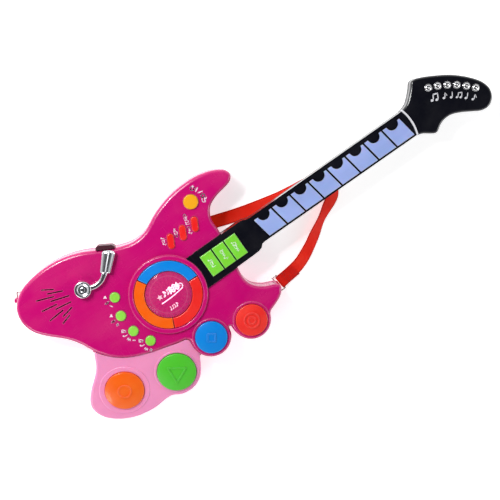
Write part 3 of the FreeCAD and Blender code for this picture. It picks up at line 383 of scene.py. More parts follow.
def moulded_plastic(name, colour, roughness=0.2, coat=0.5, drift=0.1, scuffs=0.25, wear_and_highlight=1.0,
                    wear_and_highlight_width=0.0009, worn=0.45, peel=0.00004, dust=1.0, grain=900.0, glow=0.0):
    """Injection-moulded plastic with lightened edges and a little dust: the lightened edges are rubbed wear
    and, where the edge amount is set high, also a painted highlight.
    """
    plastic = Finish(name, Coat_Weight=coat, Coat_Roughness=0.06, Specular_IOR_Level=0.5,
                     Subsurface_Weight=glow, Subsurface_Scale=0.002)
    skin = plastic.effect("moulded_skin", {
        "Colour": solid(colour), "Drift": drift, "Roughness": roughness, "Scuffs": scuffs,
        "Grain Scale": grain})
    # The edge mask lightens the colour: rubbed wear, and where it is set high a painted highlight.
    wear_and_highlight_mask = plastic.effect("edge_wear_and_highlight", {"Width": wear_and_highlight_width, "Amount": sizes().edge_wear_and_highlight * wear_and_highlight})["Mask"]
    dusty = plastic.effect("settled_dust", {"Amount": sizes().dust * dust})["Mask"]
    shown = dusty.mix(wear_and_highlight_mask.mix(skin["Colour"], lightened(colour, worn)), (0.62, 0.6, 0.58, 1.0))
    rough = (skin["Roughness"] + wear_and_highlight_mask * 0.25).maths("ADD", dusty * 0.5, clamp=True)
    return plastic.dress(shown, rough, skin["Height"], peel, 0.6)


def plated_chrome(name, tint=(0.8, 0.82, 0.86), roughness=0.16):
    """Vacuum-plated plastic, bright with faint waves and a few dull specks."""
    chrome = Finish(name, Metallic=1.0)
    grain = chrome.effect("metal_grain", {
        "Stretch": (30.0, 60.0, 30.0), "Roughness": roughness, "Spots": 0.25})
    dull = grain["Spots"].mix(solid(tint), (0.32, 0.33, 0.36, 1.0))
    return chrome.dress(dull, grain["Roughness"], grain["Height"], 0.00008, 0.3)


def bare_metal(name, tint, roughness, stretch):
    """Nickel-plated or pressed steel with rolled lines."""
    metal = Finish(name, Metallic=1.0)
    grain = metal.effect("metal_grain", {"Stretch": stretch, "Roughness": roughness, "Spots": 0.6})
    dull = grain["Spots"].mix(solid(tint), (0.2, 0.19, 0.17, 1.0))
    return metal.dress(dull, grain["Roughness"], grain["Height"], 0.00003)


def tinted_lens(name, colour):
    """Thin clear tinted styrene, with faint swirls where it filled the mould."""
    lens = Finish(name, Alpha=0.2, Coat_Weight=0.2, Coat_Roughness=0.03, Specular_IOR_Level=0.35)
    swirl = lens.place.noise(45.0, 3.0)
    skin = lens.effect("moulded_skin", {"Roughness": 0.05, "Scuffs": 0.15})
    tint = swirl.mix(solid(colour), lightened(colour, 0.12))
    return lens.dress(tint, skin["Roughness"], swirl, 0.0001, 0.4)


def printed_film(name, colour):
    """The film under the dome: a ring and faint rays printed round the middle of the disc."""
    film = Finish(name, Coat_Weight=0.3, Coat_Roughness=0.1)
    centred = film.place.mapped(Location=(-DISC.x, -DISC.y, 0.0))
    x, y, _ = centred.parts()
    flat = x.node("ShaderNodeCombineXYZ", {0: x, 1: y})
    reach = x.node("ShaderNodeVectorMath", {0: flat}, "Value", operation="LENGTH")
    rays = (y.maths("ARCTAN2", x) * 24.0).maths("SINE") * 0.5 + 0.5
    tint = (rays * reach.spread(0.012, 0.026) * 0.15).mix(solid(colour), lightened(colour, 0.3))
    dots = centred.noise(1500.0, 1.0).spread(0.6, 0.7)
    tint = (dots * 0.04).mix(tint, WHITE)
    ring = reach.maths("COMPARE", 0.0235, 0.0006)
    return film.dress(ring.mix(tint, lightened(colour, 0.1)), dots.spread(0.0, 1.0, 0.25, 0.4))


def printed_ink(name, colour, glow=0.0):
    """Pad-printed ink, thin in places, which can be given a painted glow: emission that brightens it though
    no lamp lies behind it.
    """
    ink = Finish(name, Specular_IOR_Level=0.4, Emission_Strength=glow)
    thin = ink.place.noise(900.0, 3.0, 0.6).spread(0.5, 0.8)
    shown = (thin * 0.25).mix(solid(colour), darkened(colour, 0.6))
    return ink.dress(shown, thin.spread(0.0, 1.0, 0.35, 0.6))


def soft_rubber(name, colour):
    """Silicone rubber, chalky, with lint."""
    rubber = Finish(name, Specular_IOR_Level=0.3, Sheen_Weight=0.3)
    chalk = rubber.place.noise(220.0, 4.0, 0.6)
    lint = rubber.place.mapped(Scale=(300.0, 2400.0, 300.0)).noise(1.0).spread(0.7, 0.76)
    pale = chalk.spread(0.3, 0.7, 0.0, 0.3).mix(solid(colour), lightened(colour, 0.4))
    return rubber.dress(pale, lint.spread(0.0, 1.0, 0.75, 0.95), chalk, 0.00005)


def solder_mask(name):
    """A green circuit board with tracks, bare pads and a silk-screened grid."""
    board = Finish(name, Coat_Weight=0.4, Coat_Roughness=0.15)
    tracks = board.place.node("ShaderNodeTexBrick", {
        "Vector": board.place, "Scale": 180.0, "Mortar Size": 0.06, "Brick Width": 0.9, "Row Height": 0.35,
        "Color1": (0.005, 0.09, 0.03, 1.0), "Color2": (0.004, 0.07, 0.025, 1.0),
        "Mortar": (0.02, 0.2, 0.07, 1.0)}, "Color", offset=0.37)
    pads = board.place.node("ShaderNodeTexVoronoi", {"Vector": board.place, "Scale": 260.0}, "Distance")
    bare = pads.maths("LESS_THAN", 0.16)
    bare.to(board.sockets["Metallic"])
    return board.dress(bare.mix(tracks, (0.62, 0.5, 0.3, 1.0)),
                       board.place.noise(500.0).spread(0.3, 0.7, 0.25, 0.45), tracks.other("Fac"), 0.00005)


def paper_cone(name):
    """Pressed paper with fibres and rings round the speaker's middle."""
    paper = Finish(name, Specular_IOR_Level=0.2)
    centred = paper.place.mapped(Location=tuple(-middle("speaker_cone")))
    rings = centred.node("ShaderNodeTexWave", {"Vector": centred, "Scale": 160.0, "Distortion": 0.4}, "Fac",
                         wave_type="RINGS", rings_direction="Z")
    fibres = centred.mapped(Scale=(300.0, 1500.0, 300.0)).noise(1.0, 3.0)
    return paper.dress(fibres.mix((0.012, 0.011, 0.012, 1.0), (0.05, 0.045, 0.045, 1.0)),
                       fibres.spread(0.0, 1.0, 0.7, 0.95), rings + fibres, 0.0002)


def cell_sleeve(name):
    """The cells' printed sleeves: a dark body and a copper-coloured band towards one end."""
    sleeve = Finish(name, Coat_Weight=0.6, Coat_Roughness=0.08)
    low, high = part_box("batteries")
    band = sleeve.place.parts()[0].maths("GREATER_THAN", low.x + (high.x - low.x) * 0.7)
    worn = sleeve.place.noise(300.0, 3.0).spread(0.55, 0.8)
    colour = band.mix((0.02, 0.03, 0.06, 1.0), (0.62, 0.27, 0.12, 1.0))
    return sleeve.dress((worn * 0.3).mix(colour, (0.5, 0.5, 0.5, 1.0)), worn.spread(0.0, 1.0, 0.25, 0.5))


def clear_epoxy(name):
    """A lamp's clear body with its milky core."""
    epoxy = Finish(name, Transmission_Weight=0.8, IOR=1.5)
    milk = epoxy.place.noise(700.0, 2.0)
    shown = milk.mix((0.9, 0.92, 0.95, 1.0), (1.0, 0.85, 0.8, 1.0))
    return epoxy.dress(shown, milk.spread(0.0, 1.0, 0.05, 0.25))


def woven_webbing(name):
    """Polyester webbing with chevrons along it and a dark selvedge."""
    cloth = Finish(name, Specular_IOR_Level=0.2, Sheen_Weight=0.05, Sheen_Roughness=0.4,
                   Subsurface_Weight=0.15)
    weave = cloth.effect("webbing_weave", {"Width": sizes().strap_width})
    colour = colours().webbing
    shown = weave["Thread Shade"].mix(darkened(colour, 0.72), solid(colour))
    faded = cloth.place.noise(30.0, 3.0).spread(0.4, 0.7, 0.0, 0.18)
    shown = faded.mix(shown, lightened(colour, 0.06))
    shown = (weave["Selvedge"] * 0.75).mix(shown, solid(colours().webbing_edge))
    return cloth.dress(shown, weave["Thread Shade"].spread(0.0, 1.0, 0.9, 0.6), weave["Height"], 0.0002, 0.6)


def sewing_thread(name, colour):
    """Twisted thread."""
    thread = Finish(name, Sheen_Weight=0.3)
    twist = thread.place.node("ShaderNodeTexWave", {"Vector": thread.place, "Scale": 900.0}, "Fac",
                              bands_direction="DIAGONAL")
    return thread.dress(twist.mix(darkened(colour, 0.5), solid(colour)), twist.spread(0.0, 1.0, 0.8, 0.55))


def finish(nodes, material):
    """Gives a CAD node, or several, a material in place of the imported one."""
    for name in nodes:
        for material_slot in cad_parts[name].material_slots:
            material_slot.material = material


# Meshes

def new_object(name, data):
    thing = bpy.data.objects.new(name, data)
    bpy.context.scene.collection.objects.link(thing)
    return thing


def new_piece(name, mesh, material, body):
    """A finished mesh in the frame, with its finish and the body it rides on."""
    piece = new_object(name, mesh)
    if material is not None:
        mesh.materials.clear()
        mesh.materials.append(material)
    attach(piece, body)
    return piece


def mesh_of(name, build, smooth=True):
    """A mesh from a bmesh, with its doubles merged and its faces turned outwards."""
    bmesh.ops.remove_doubles(build, verts=build.verts, dist=1e-7)
    bmesh.ops.recalc_face_normals(build, faces=build.faces)
    mesh = bpy.data.meshes.new(name)
    build.to_mesh(mesh)
    build.free()
    for face in mesh.polygons:
        face.use_smooth = smooth
    return mesh


def lumps(node):
    """The boxes of a CAD node's separate solids, from the tail to the head."""
    build = bmesh.new()
    build.from_mesh(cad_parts[node].data)
    bmesh.ops.remove_doubles(build, verts=build.verts, dist=1e-5)
    waiting = set(build.verts)
    boxes = []
    while waiting:
        shell = [waiting.pop()]
        for vert in shell:
            for edge in vert.link_edges:
                other = edge.other_vert(vert)
                if other in waiting:
                    waiting.remove(other)
                    shell.append(other)
        boxes.append((Vector(min(v.co[axis] for v in shell) for axis in range(3)),
                      Vector(max(v.co[axis] for v in shell) for axis in range(3))))
    build.free()
    return sorted(boxes, key=lambda corners: corners[0].x)


def lathe(build, centre, profile, segments):
    """A solid of revolution from (radius, height) points in mm, from the pole on top to the one below."""
    rings = []
    for radius, height in profile:
        ring = []
        for step in range(segments):
            angle = 2 * math.pi * step / segments
            spot = Vector((radius * math.cos(angle), radius * math.sin(angle), height)) * MM
            ring.append(build.verts.new(centre + spot))
        rings.append(ring)
    for upper, lower in zip(rings, rings[1:]):
        for step in range(segments):
            after = (step + 1) % segments
            build.faces.new((upper[step], upper[after], lower[after], lower[step]))


def rounded(start, end, radius_at, steps):
    """Points of a quarter round between two angles in degrees: radius_at is (r, z, size)."""
    r, z, size = radius_at
    points = []
    for step in range(steps + 1):
        angle = math.radians(start + (end - start) * step / steps)
        points.append((r + size * math.cos(angle), z + size * math.sin(angle)))
    return points


def loft(build, sections):
    """A closed skin over rings of the same number of points."""
    rings = [[build.verts.new(spot) for spot in section] for section in sections]
    count = len(rings[0])
    for first, second in zip(rings, rings[1:]):
        for step in range(count):
            after = (step + 1) % count
            build.faces.new((first[step], first[after], second[after], second[step]))
    build.faces.new(list(reversed(rings[0])))
    build.faces.new(rings[-1])
    return rings


def nurbs_line(points):
    """The points of a smooth curve that has the given ones as its control points."""
    curve = bpy.data.curves.new("line", "CURVE")
    curve.dimensions = "3D"
    curve.resolution_u = 12
    spline = curve.splines.new("NURBS")
    spline.points.add(len(points) - 1)
    for control, spot in zip(spline.points, points):
        control.co = (*spot, 1.0)
    spline.order_u = 3
    spline.use_endpoint_u = True
    carrier = new_object("line", curve)
    mesh = bpy.data.meshes.new_from_object(carrier)
    line = [vert.co.copy() for vert in mesh.vertices]
    bpy.data.objects.remove(carrier)
    bpy.data.curves.remove(curve)
    bpy.data.meshes.remove(mesh)
    return line


def directions(line):
    """The direction of a line at each of its points."""
    last = len(line) - 1
    return [(line[min(step + 1, last)] - line[max(step - 1, 0)]).normalized() for step in range(last + 1)]


def along(line):
    """How far along a line each of its points is."""
    distances = [0.0]
    for first, second in zip(line, line[1:]):
        distances.append(distances[-1] + (second - first).length)
    return distances


# Geometry Nodes

def new_tree(name, inputs):
    """An empty geometry tree, with named inputs given as name: (kind, default)."""
    tree = bpy.data.node_groups.new(name, "GeometryNodeTree")
    tree.interface.new_socket("Geometry", in_out="INPUT", socket_type="NodeSocketGeometry")
    tree.interface.new_socket("Geometry", in_out="OUTPUT", socket_type="NodeSocketGeometry")
    for label, (kind, default) in inputs.items():
        socket = tree.interface.new_socket(label, in_out="INPUT", socket_type="NodeSocket" + kind)
        if default is not None:
            socket.default_value = default
    start = tree.nodes.new("NodeGroupInput")
    end = tree.nodes.new("NodeGroupOutput")
    return tree, start.outputs, end.inputs


def realised(tree, geometry, material, result):
    """The last steps of every tree: real geometry, with its material."""
    real = add_node(tree, "GeometryNodeRealizeInstances", {0: geometry}).outputs[0]
    painted = add_node(tree, "GeometryNodeSetMaterial", {"Geometry": real, "Material": material})
    tree.links.new(painted.outputs[0], result["Geometry"])


def grown(name, mesh, tree, values):
    """The plain mesh that a geometry tree makes from a mesh, with the tree's inputs set by name."""
    seed = new_object(name, mesh)
    modifier = seed.modifiers.new(tree.name, "NODES")
    modifier.node_group = tree
    for item in tree.interface.items_tree:
        if item.in_out == "INPUT" and item.name in values:
            modifier[item.identifier] = values[item.name]
    bpy.context.view_layer.update()
    evaluated = seed.evaluated_get(bpy.context.evaluated_depsgraph_get())
    result = bpy.data.meshes.new_from_object(evaluated)
    seed.modifiers.remove(modifier)
    bpy.data.objects.remove(seed)
    return result


def make_row_of_studs():
    """A copied part on every point, each turned by chance about its own axis."""
    tree, given, result = new_tree("row_of_studs", {
        "Part": ("Object", None), "Seed": ("Int", 7), "Material": ("Material", None)})
    part = add_node(tree, "GeometryNodeObjectInfo", {"Object": given["Part"]}).outputs["Geometry"]
    turn = add_node(tree, "FunctionNodeRandomValue", {"Seed": given["Seed"]}, data_type="FLOAT")
    turn.inputs[3].default_value = 2 * math.pi
    spin = add_node(tree, "ShaderNodeCombineXYZ", {2: turn.outputs[1]}).outputs[0]
    placed = add_node(tree, "GeometryNodeInstanceOnPoints", {
        "Points": given["Geometry"], "Instance": part, "Rotation": spin}).outputs[0]
    realised(tree, placed, given["Material"], result)
    return tree


def make_sewn_line():
    """Stitches laid end to end along every edge line of a mesh."""
    tree, given, result = new_tree("sewn_line", {
        "Pitch": ("Float", 0.0036), "Length": ("Float", 0.0026), "Thread": ("Float", 0.0004),
        "Material": ("Material", None)})
    line = add_node(tree, "GeometryNodeMeshToCurve", {"Mesh": given["Geometry"]}).outputs[0]
    even = add_node(tree, "GeometryNodeResampleCurve", {"Curve": line, "Length": given["Pitch"]},
                    mode="LENGTH")
    along_line = tree.nodes.new("GeometryNodeInputTangent").outputs[0]
    aimed = add_node(tree, "FunctionNodeAlignRotationToVector", {"Vector": along_line}, axis="Z").outputs[0]
    stitch = add_node(tree, "GeometryNodeMeshUVSphere", {
        "Segments": 8, "Rings": 6, "Radius": 0.5}).outputs["Mesh"]
    size = add_node(tree, "ShaderNodeCombineXYZ", {
        0: given["Thread"], 1: given["Thread"], 2: given["Length"]}).outputs[0]
    placed = add_node(tree, "GeometryNodeInstanceOnPoints", {
        "Points": even.outputs[0], "Instance": stitch, "Rotation": aimed, "Scale": size}).outputs[0]
    realised(tree, placed, given["Material"], result)
    return tree


# Printed signs

INK_LIFT = 0.01


def arc(radius, start, end, x=0.0, steps=16):
    """The points of an arc between two angles in degrees, about a middle on the X axis."""
    angles = [math.radians(start + (end - start) * step / steps) for step in range(steps + 1)]
    return [(x + radius * math.cos(angle), radius * math.sin(angle)) for angle in angles]


def star_outline(points=5, outer=2.4, inner=1.1):
    outline = []
    for step in range(2 * points):
        angle = math.radians(90 + 180 * step / points)
        reach = inner if step % 2 else outer
        outline.append((reach * math.cos(angle), reach * math.sin(angle)))
    return outline


# Each mark is drawn in mm about its own middle.
NOTE = [("dot", -0.6, -1.3, 2.0, 1.5, 25), ("stroke", [(0.2, -1.1), (0.2, 2.2)], 0.55)]
DASH = ("stroke", [(-1.1, 0), (1.1, 0)], 0.7)
MARKS = {
    "bar": [("stroke", [(0, -1.6), (0, 1.6)], 0.75)],
    "ring": [("stroke", arc(1.5, 0, 360), 0.7)],
    "slash": [("stroke", [(-0.8, -1.7), (0.8, 1.7)], 0.6)],
    "power": [("stroke", arc(1.6, 125, 415), 0.7), ("stroke", [(0, 0.4), (0, 2.2)], 0.7)],
    "minus": [DASH],
    "plus": [DASH, ("stroke", [(0, -1.1), (0, 1.1)], 0.7)],
    "horn": [("slab", [(-1.5, -0.7), (-0.5, -0.7), (1.0, -1.8), (1.0, 1.8), (-0.5, 0.7), (-1.5, 0.7)])],
    "sound": [("stroke", arc(radius, -55, 55, -1.2, 8), 0.6) for radius in (1.2, 2.4)],
    "metronome": [("stroke", [(-1.4, -1.7), (1.4, -1.7), (0.6, 1.7), (-0.6, 1.7)], 0.55, True),
                  ("stroke", [(0, -1.2), (1.3, 1.7)], 0.5)],
    "pulse": [("stroke", [(-1.6, -0.8), (-0.8, 1.2), (0.0, -1.4), (0.8, 1.2), (1.6, -0.8)], 0.55)],
    "crotchet": NOTE,
    "quaver": NOTE + [("stroke", [(0.2, 2.2), (1.0, 1.4), (1.5, 0.4)], 0.6)],
    "beamed_pair": [("dot", x, -1.3, 1.8, 1.3, 25) for x in (-1.7, 0.9)]
    + [("stroke", [(x + 0.75, -1.1), (x + 0.75, 1.9)], 0.5) for x in (-1.7, 0.9)]
    + [("slab", [(-1.2, 1.4), (1.9, 1.7), (1.9, 2.4), (-1.2, 2.1)])],
    "drum": [("dot", 0, 0.8, 3.8, 1.3), ("stroke", [(-2.0, 2.4), (0.4, 1.0)], 0.45),
             ("stroke", [(-1.8, 0.8), (-1.8, -1.2), (0, -1.8), (1.8, -1.2), (1.8, 0.8)], 0.5)],
    "waves": [("stroke", [(x * 0.5, level + 0.8 * math.sin(x * 0.9)) for x in range(-8, 9)], 0.6)
              for level in (-1.8, 0.0, 1.8)],
    "swoosh": [("stroke", [(-9.0 + 0.75 * step, -0.4 - 0.5 * math.sin(step / 24 * math.pi))
                           for step in range(25)] + [(10.2, 0.6), (10.6, 2.0), (9.8, 3.0)], 0.45)],
    "star": [("slab", star_outline())],
}


class Sign:
    """Flat ink, drawn in mm about a middle and turned to its place on the guitar."""

    def __init__(self, mark, x, y, height, turn=0.0, scale=1.0, weight=1.0):
        self.mark = mark
        self.base = at(x, y, height + INK_LIFT)
        self.turn = Matrix.Rotation(math.radians(turn), 3, "Z")
        self.scale = scale * MM
        self.weight = weight

    def draw(self, build):
        for kind, *rest in MARKS[self.mark]:
            getattr(self, kind)(build, *rest)

    def spot(self, x, y, level=0.0):
        return self.base + self.turn @ Vector((x * self.scale, y * self.scale, level))

    def slab(self, build, outline):
        """A thin closed slab over an outline of (x, y) points."""
        thick = sizes().print_height
        loft(build, [[self.spot(x, y) for x, y in outline], [self.spot(x, y, thick) for x, y in outline]])

    def dot(self, build, x, y, wide, high, tilt=0.0, steps=20):
        lean = math.radians(tilt)
        outline = []
        for step in range(steps):
            angle = 2 * math.pi * step / steps
            dx, dy = wide * math.cos(angle) / 2, high * math.sin(angle) / 2
            outline.append((x + dx * math.cos(lean) - dy * math.sin(lean),
                            y + dx * math.sin(lean) + dy * math.cos(lean)))
        self.slab(build, outline)

    def stroke(self, build, points, width, closed=False):
        """A line of even width through the points, with round joints."""
        width *= self.weight
        ends = points[1:] + points[:1] if closed else points[1:]
        for (x0, y0), (x1, y1) in zip(points, ends):
            length = math.hypot(x1 - x0, y1 - y0)
            dx, dy = (y0 - y1) / length * width / 2, (x1 - x0) / length * width / 2
            self.slab(build, [(x0 - dx, y0 - dy), (x1 - dx, y1 - dy), (x1 + dx, y1 + dy), (x0 + dx, y0 + dy)])
        for x, y in points:
            self.dot(build, x, y, width, width, steps=10)


# Rows of marks on the dome's print: X, Y, turn, pitch, scale, weight and the marks.
DOME_ROWS = [
    (2.8, 3.0, 0.0, 6.9, 1.65, 1.7, ("star", "quaver", "beamed_pair", "waves", "star")),
    (2.8, -3.2, 4.0, 0.0, 1.8, 1.7, ("swoosh",)),
    (-3.0, -16.5, 0.0, 4.4, 1.15, 1.4, ("crotchet", "beamed_pair", "quaver")),
]
# Arcs of marks round the small buttons: radius, first angle, last angle, scale and the marks.
ARC_WEIGHT = 1.3
BUTTON_ARCS = {
    "volume_down": (12.0, 146, 214, 1.35, ("horn", "sound", "minus")),
    "volume_up": (12.0, 146, 214, 1.35, ("horn", "sound", "plus")),
    "tempo_down": (12.0, 146, 238, 1.35, ("metronome", "crotchet", "pulse", "minus")),
    "tempo_up": (12.0, 146, 238, 1.35, ("metronome", "crotchet", "pulse", "plus")),
    "power": (16.8, 48, -26, 1.55, ("power", "bar", "slash", "ring", "drum")),
}
# The row beside each mode button lies at this reach and angle from it.
MODE_REACH = 9.0
MODE_SIDE = math.radians(146.0)
MODE_TURN = -106.0
MODE_MARKS = [("crotchet", "drum", "quaver"), ("pulse", "beamed_pair", "ring"),
              ("ring", "drum", "beamed_pair", "crotchet", "sound", "pulse", "quaver")]
KEY_MARKS = [("quaver", "drum", "crotchet"), ("drum", "pulse", "quaver"), ("beamed_pair", "drum", "pulse")]
# Marks on the head: X, Y, turn, scale and the mark.
HEAD_WEIGHT = 1.2
HEAD_MARKS = [
    (413.8, 10.8, -26.0, 2.3, "beamed_pair"), (425.0, 5.4, -29.0, 1.8, "quaver"),
    (433.2, 0.8, -32.0, 1.8, "crotchet"), (441.0, -4.6, -36.0, 1.8, "beamed_pair"),
    (448.4, -11.0, -40.0, 1.8, "crotchet"), (455.0, -17.4, -44.0, 1.8, "quaver"),
]


def in_row(x, y, height, turn, pitch, scale, weight, marks):
    """Signs one after another along a straight line about its middle."""
    lean = math.radians(turn)
    row = []
    for index, mark in enumerate(marks):
        reach = pitch * (index - (len(marks) - 1) / 2)
        row.append(Sign(mark, x + reach * math.cos(lean), y + reach * math.sin(lean), height, turn, scale,
                        weight))
    return row


def on_arc(x, y, height, radius, first, last, scale, marks):
    """Signs along an arc about a middle, from one angle to another, read in that direction."""
    row = []
    for index, mark in enumerate(marks):
        angle = first + (last - first) * index / (len(marks) - 1)
        lean = math.radians(angle)
        turn = angle + math.copysign(90.0, last - first)
        row.append(Sign(mark, x + radius * math.cos(lean), y + radius * math.sin(lean), height, turn, scale,
                        ARC_WEIGHT))
    return row


def printed(name, signs, ink, body):
    """One piece of ink that holds all the signs."""
    build = bmesh.new()
    for sign in signs:
        sign.draw(build)
    return new_piece(name, mesh_of(name, build, smooth=False), ink, body)


# Strap

# The strap's route from the lower horn's ring, under the neck and the body, to
# the tail's ring: X, Y and how far the webbing leans over, in degrees.
STRAP_ROUTE = [
    (125.0, -75.7, 0), (152.0, -73.2, 18), (179.0, -60.5, 30), (205.0, -43.0, 48), (230.0, -28.8, 26),
    (250.0, -19.0, 52), (253.5, -2.5, 74), (242.5, 10.0, 60), (217.0, 11.5, 34), (190.0, 13.5, 18),
    (160.0, 20.0, 8), (128.0, 28.0, 2), (98.0, 38.0, 0), (64.0, 48.5, 0), (28.0, 47.5, 0),
    (-4.0, 32.0, 0), (-30.0, 8.0, 0), (-64.0, 0.0, 0), (-97.0, 9.0, 0), (-120.0, 33.0, 0),
    (-133.0, 66.0, 0), (-156.5, 95.3, 0),
]
STRAP_FLOOR_GAP = 0.5
# Each end is folded round its ring's bar and sewn with a crossed box.
FOLD_LENGTH = 26.0
FOLD_RADIUS = 1.75
FOLD_LAP = 1.3
BAR_INSET = 0.9
BOX_START = 7.5
BOX_END = 3.0
BOX_SHARE = 0.36
UP = Vector((0.0, 0.0, 1.0))


def strap_height(lean):
    """How high the webbing's middle lies, in mm, where it leans over and stands on one edge."""
    half = sizes().strap_width / MM / 2
    return STRAP_FLOOR_GAP + sizes().strap_thickness / MM / 2 + half * math.sin(math.radians(lean))


def lean_at(share):
    """The lean, in radians, at a share of the route."""
    place = share * (len(STRAP_ROUTE) - 1)
    step = min(int(place), len(STRAP_ROUTE) - 2)
    part = place - step
    part = part * part * (3 - 2 * part)
    low, high = STRAP_ROUTE[step][2], STRAP_ROUTE[step + 1][2]
    return math.radians(low + (high - low) * part)


def webbing(name, line, sides, width, thickness):
    """A woven ribbon along a line, its width along the given sides, with its own UV map in metres."""
    build = bmesh.new()
    uv_layer = build.loops.layers.uv.new("weave")
    shares = [-1.0, -0.93, -0.55, 0.0, 0.55, 0.93, 1.0]
    distances = along(line)
    sections = []
    for spot, direction, side in zip(line, directions(line), sides):
        face = direction.cross(side).normalized()
        upper = [spot + side * (width / 2 * share) + face * (thickness / 2 * (1.0 - 0.45 * share ** 8))
                 for share in shares]
        lower = [spot + side * (width / 2 * share) - face * (thickness / 2 * (1.0 - 0.45 * share ** 8))
                 for share in reversed(shares)]
        sections.append(upper + lower)
    rings = loft(build, sections)
    widths = {}
    across = [(share + 1) / 2 * width for share in shares]
    for ring, distance in zip(rings, distances):
        for vert, value in zip(ring, across + across[::-1]):
            widths[vert] = (value, distance)
    for face in build.faces:
        for loop in face.loops:
            loop[uv_layer].uv = widths[loop.vert]
    return mesh_of(name, build)


def fold_line(bar, inward, height):
    """The path of a strap's end from its sewn tail, over a ring's bar and back under it."""
    wrap = FOLD_RADIUS * MM
    lap = height + FOLD_LAP * MM
    line = [bar + inward * (FOLD_LENGTH * MM * share) for share in (1.0, 0.75, 0.5, 0.3)]
    for spot in line:
        spot.z = lap
    line.append(Vector((*(bar + inward * 4.0 * MM).xy, bar.z + 1.2 * MM)))
    for step in range(9):
        angle = math.radians(80 + 190 * step / 8)
        line.append(bar + inward * (wrap * math.cos(angle)) + UP * (wrap * math.sin(angle)))
    line[-1].z = height
    return line


def box_stitch_lines(start, inward, side, height, width):
    """The edges of a box with a cross in it, where a folded end is sewn."""
    half = width * BOX_SHARE
    near, far = BOX_START * MM, (FOLD_LENGTH - BOX_END) * MM
    corners = [start + inward * reach + side * offset
               for reach, offset in ((near, -half), (near, half), (far, half), (far, -half))]
    pairs = [(0, 1), (1, 2), (2, 3), (3, 0), (0, 2), (1, 3)]
    build = bmesh.new()
    for first, second in pairs:
        ends = [build.verts.new(Vector((*corners[index].xy, height))) for index in (first, second)]
        build.edges.new(ends)
    mesh = bpy.data.meshes.new("stitch_lines")
    build.to_mesh(mesh)
    build.free()
    return mesh


# Chrome

HUB_PROFILE = {"radius": 10.5, "low": 42.8, "high": 50.0, "dish": 6.9, "dish_depth": 1.7, "boss": 2.6}
ARM_WIDTH = 6.2
ARM_HEIGHT = 4.0
ARM_LEVEL = 47.3
# The collar round the arm: how much it swells, where it lies along the arm and how long it is.
COLLAR = (0.16, 0.86, 0.05)
ARM_POINTS = [(-74.5, 63.6), (-69.5, 61.8), (-63.5, 61.2), (-57.0, 62.4), (-52.0, 65.0), (-46.5, 69.6)]
PADDLE_LEFT = [(-53.4, 71.2), (-34.3, 92.9)]
PADDLE_RIGHT = [(-42.5, 63.4), (-21.0, 82.2)]
PADDLE_TIP = 0.8
PADDLE_LOW = 45.3
PADDLE_CROWN = [(0.0, 46.3), (0.03, 48.0), (0.08, 48.8), (0.42, 50.2), (0.47, 50.1), (0.53, 48.2),
                (0.6, 47.9), (0.84, 48.7), (0.88, 49.6), (0.94, 49.9), (0.98, 49.0), (1.0, 46.3)]


def hub_outline():
    """The hub's section, from its boss out over the bright rim and down to the face."""
    hub = HUB_PROFILE
    high = hub["high"]
    floor = high - hub["dish_depth"]
    return ([(0.01, floor + 0.9), (hub["boss"] - 0.6, floor + 0.8)]
            + rounded(90, 0, (hub["boss"] - 0.5, floor + 0.3, 0.5), 4)
            + [(hub["boss"] + 0.2, floor), (hub["dish"] - 2.0, floor + 0.1), (hub["dish"] - 0.7, floor + 0.5),
               (hub["dish"], high - 0.3)]
            + rounded(110, 0, (hub["radius"] - 1.5, high - 1.5, 1.5), 8)
            + [(hub["radius"] - inset, high - drop)
               for inset, drop in ((0.0, 3.0), (0.4, 3.3), (0.4, 3.8), (0.0, 4.1))]
            + [(hub["radius"], hub["low"] + 0.5), (hub["radius"] - 0.5, hub["low"]), (0.01, hub["low"])])


def build_arm(build):
    """The curved arm: a flattened round bar with a collar where it meets the paddle."""
    line = nurbs_line([at(x, y, ARM_LEVEL) for x, y in ARM_POINTS])
    distances = along(line)
    sections = []
    for spot, direction, distance in zip(line, directions(line), distances):
        share = distance / distances[-1]
        collar = 1.0 + COLLAR[0] * math.exp(-((share - COLLAR[1]) / COLLAR[2]) ** 2)
        side = direction.cross(UP).normalized()
        ring = []
        for step in range(20):
            angle = 2 * math.pi * step / 20
            wide = math.copysign(abs(math.cos(angle)) ** 0.8, math.cos(angle)) * ARM_WIDTH / 2 * collar
            high = math.copysign(abs(math.sin(angle)) ** 0.9, math.sin(angle)) * ARM_HEIGHT / 2 * collar
            ring.append(spot + side * (wide * MM) + UP * (high * MM))
        sections.append(ring)
    loft(build, sections)


def between(points, share):
    """A point at a share of a run of (x, y) points."""
    place = share * (len(points) - 1)
    step = min(int(place), len(points) - 2)
    part = place - step
    (x0, y0), (x1, y1) = points[step], points[step + 1]
    return x0 + (x1 - x0) * part, y0 + (y1 - y0) * part


def paddle_spot(across, share, narrow, level):
    """A point of the paddle: a share of the way across it and along it, drawn in by narrow at its ends."""
    left, right = between(PADDLE_LEFT, share), between(PADDLE_RIGHT, share)
    held = narrow + across * (1.0 - 2 * narrow)
    bulge = PADDLE_TIP * math.sin(math.pi * across) * max(share - 0.8, 0.0) / 0.2
    return at(left[0] + (right[0] - left[0]) * held + bulge * 0.66,
              left[1] + (right[1] - left[1]) * held + bulge * 0.75, level)


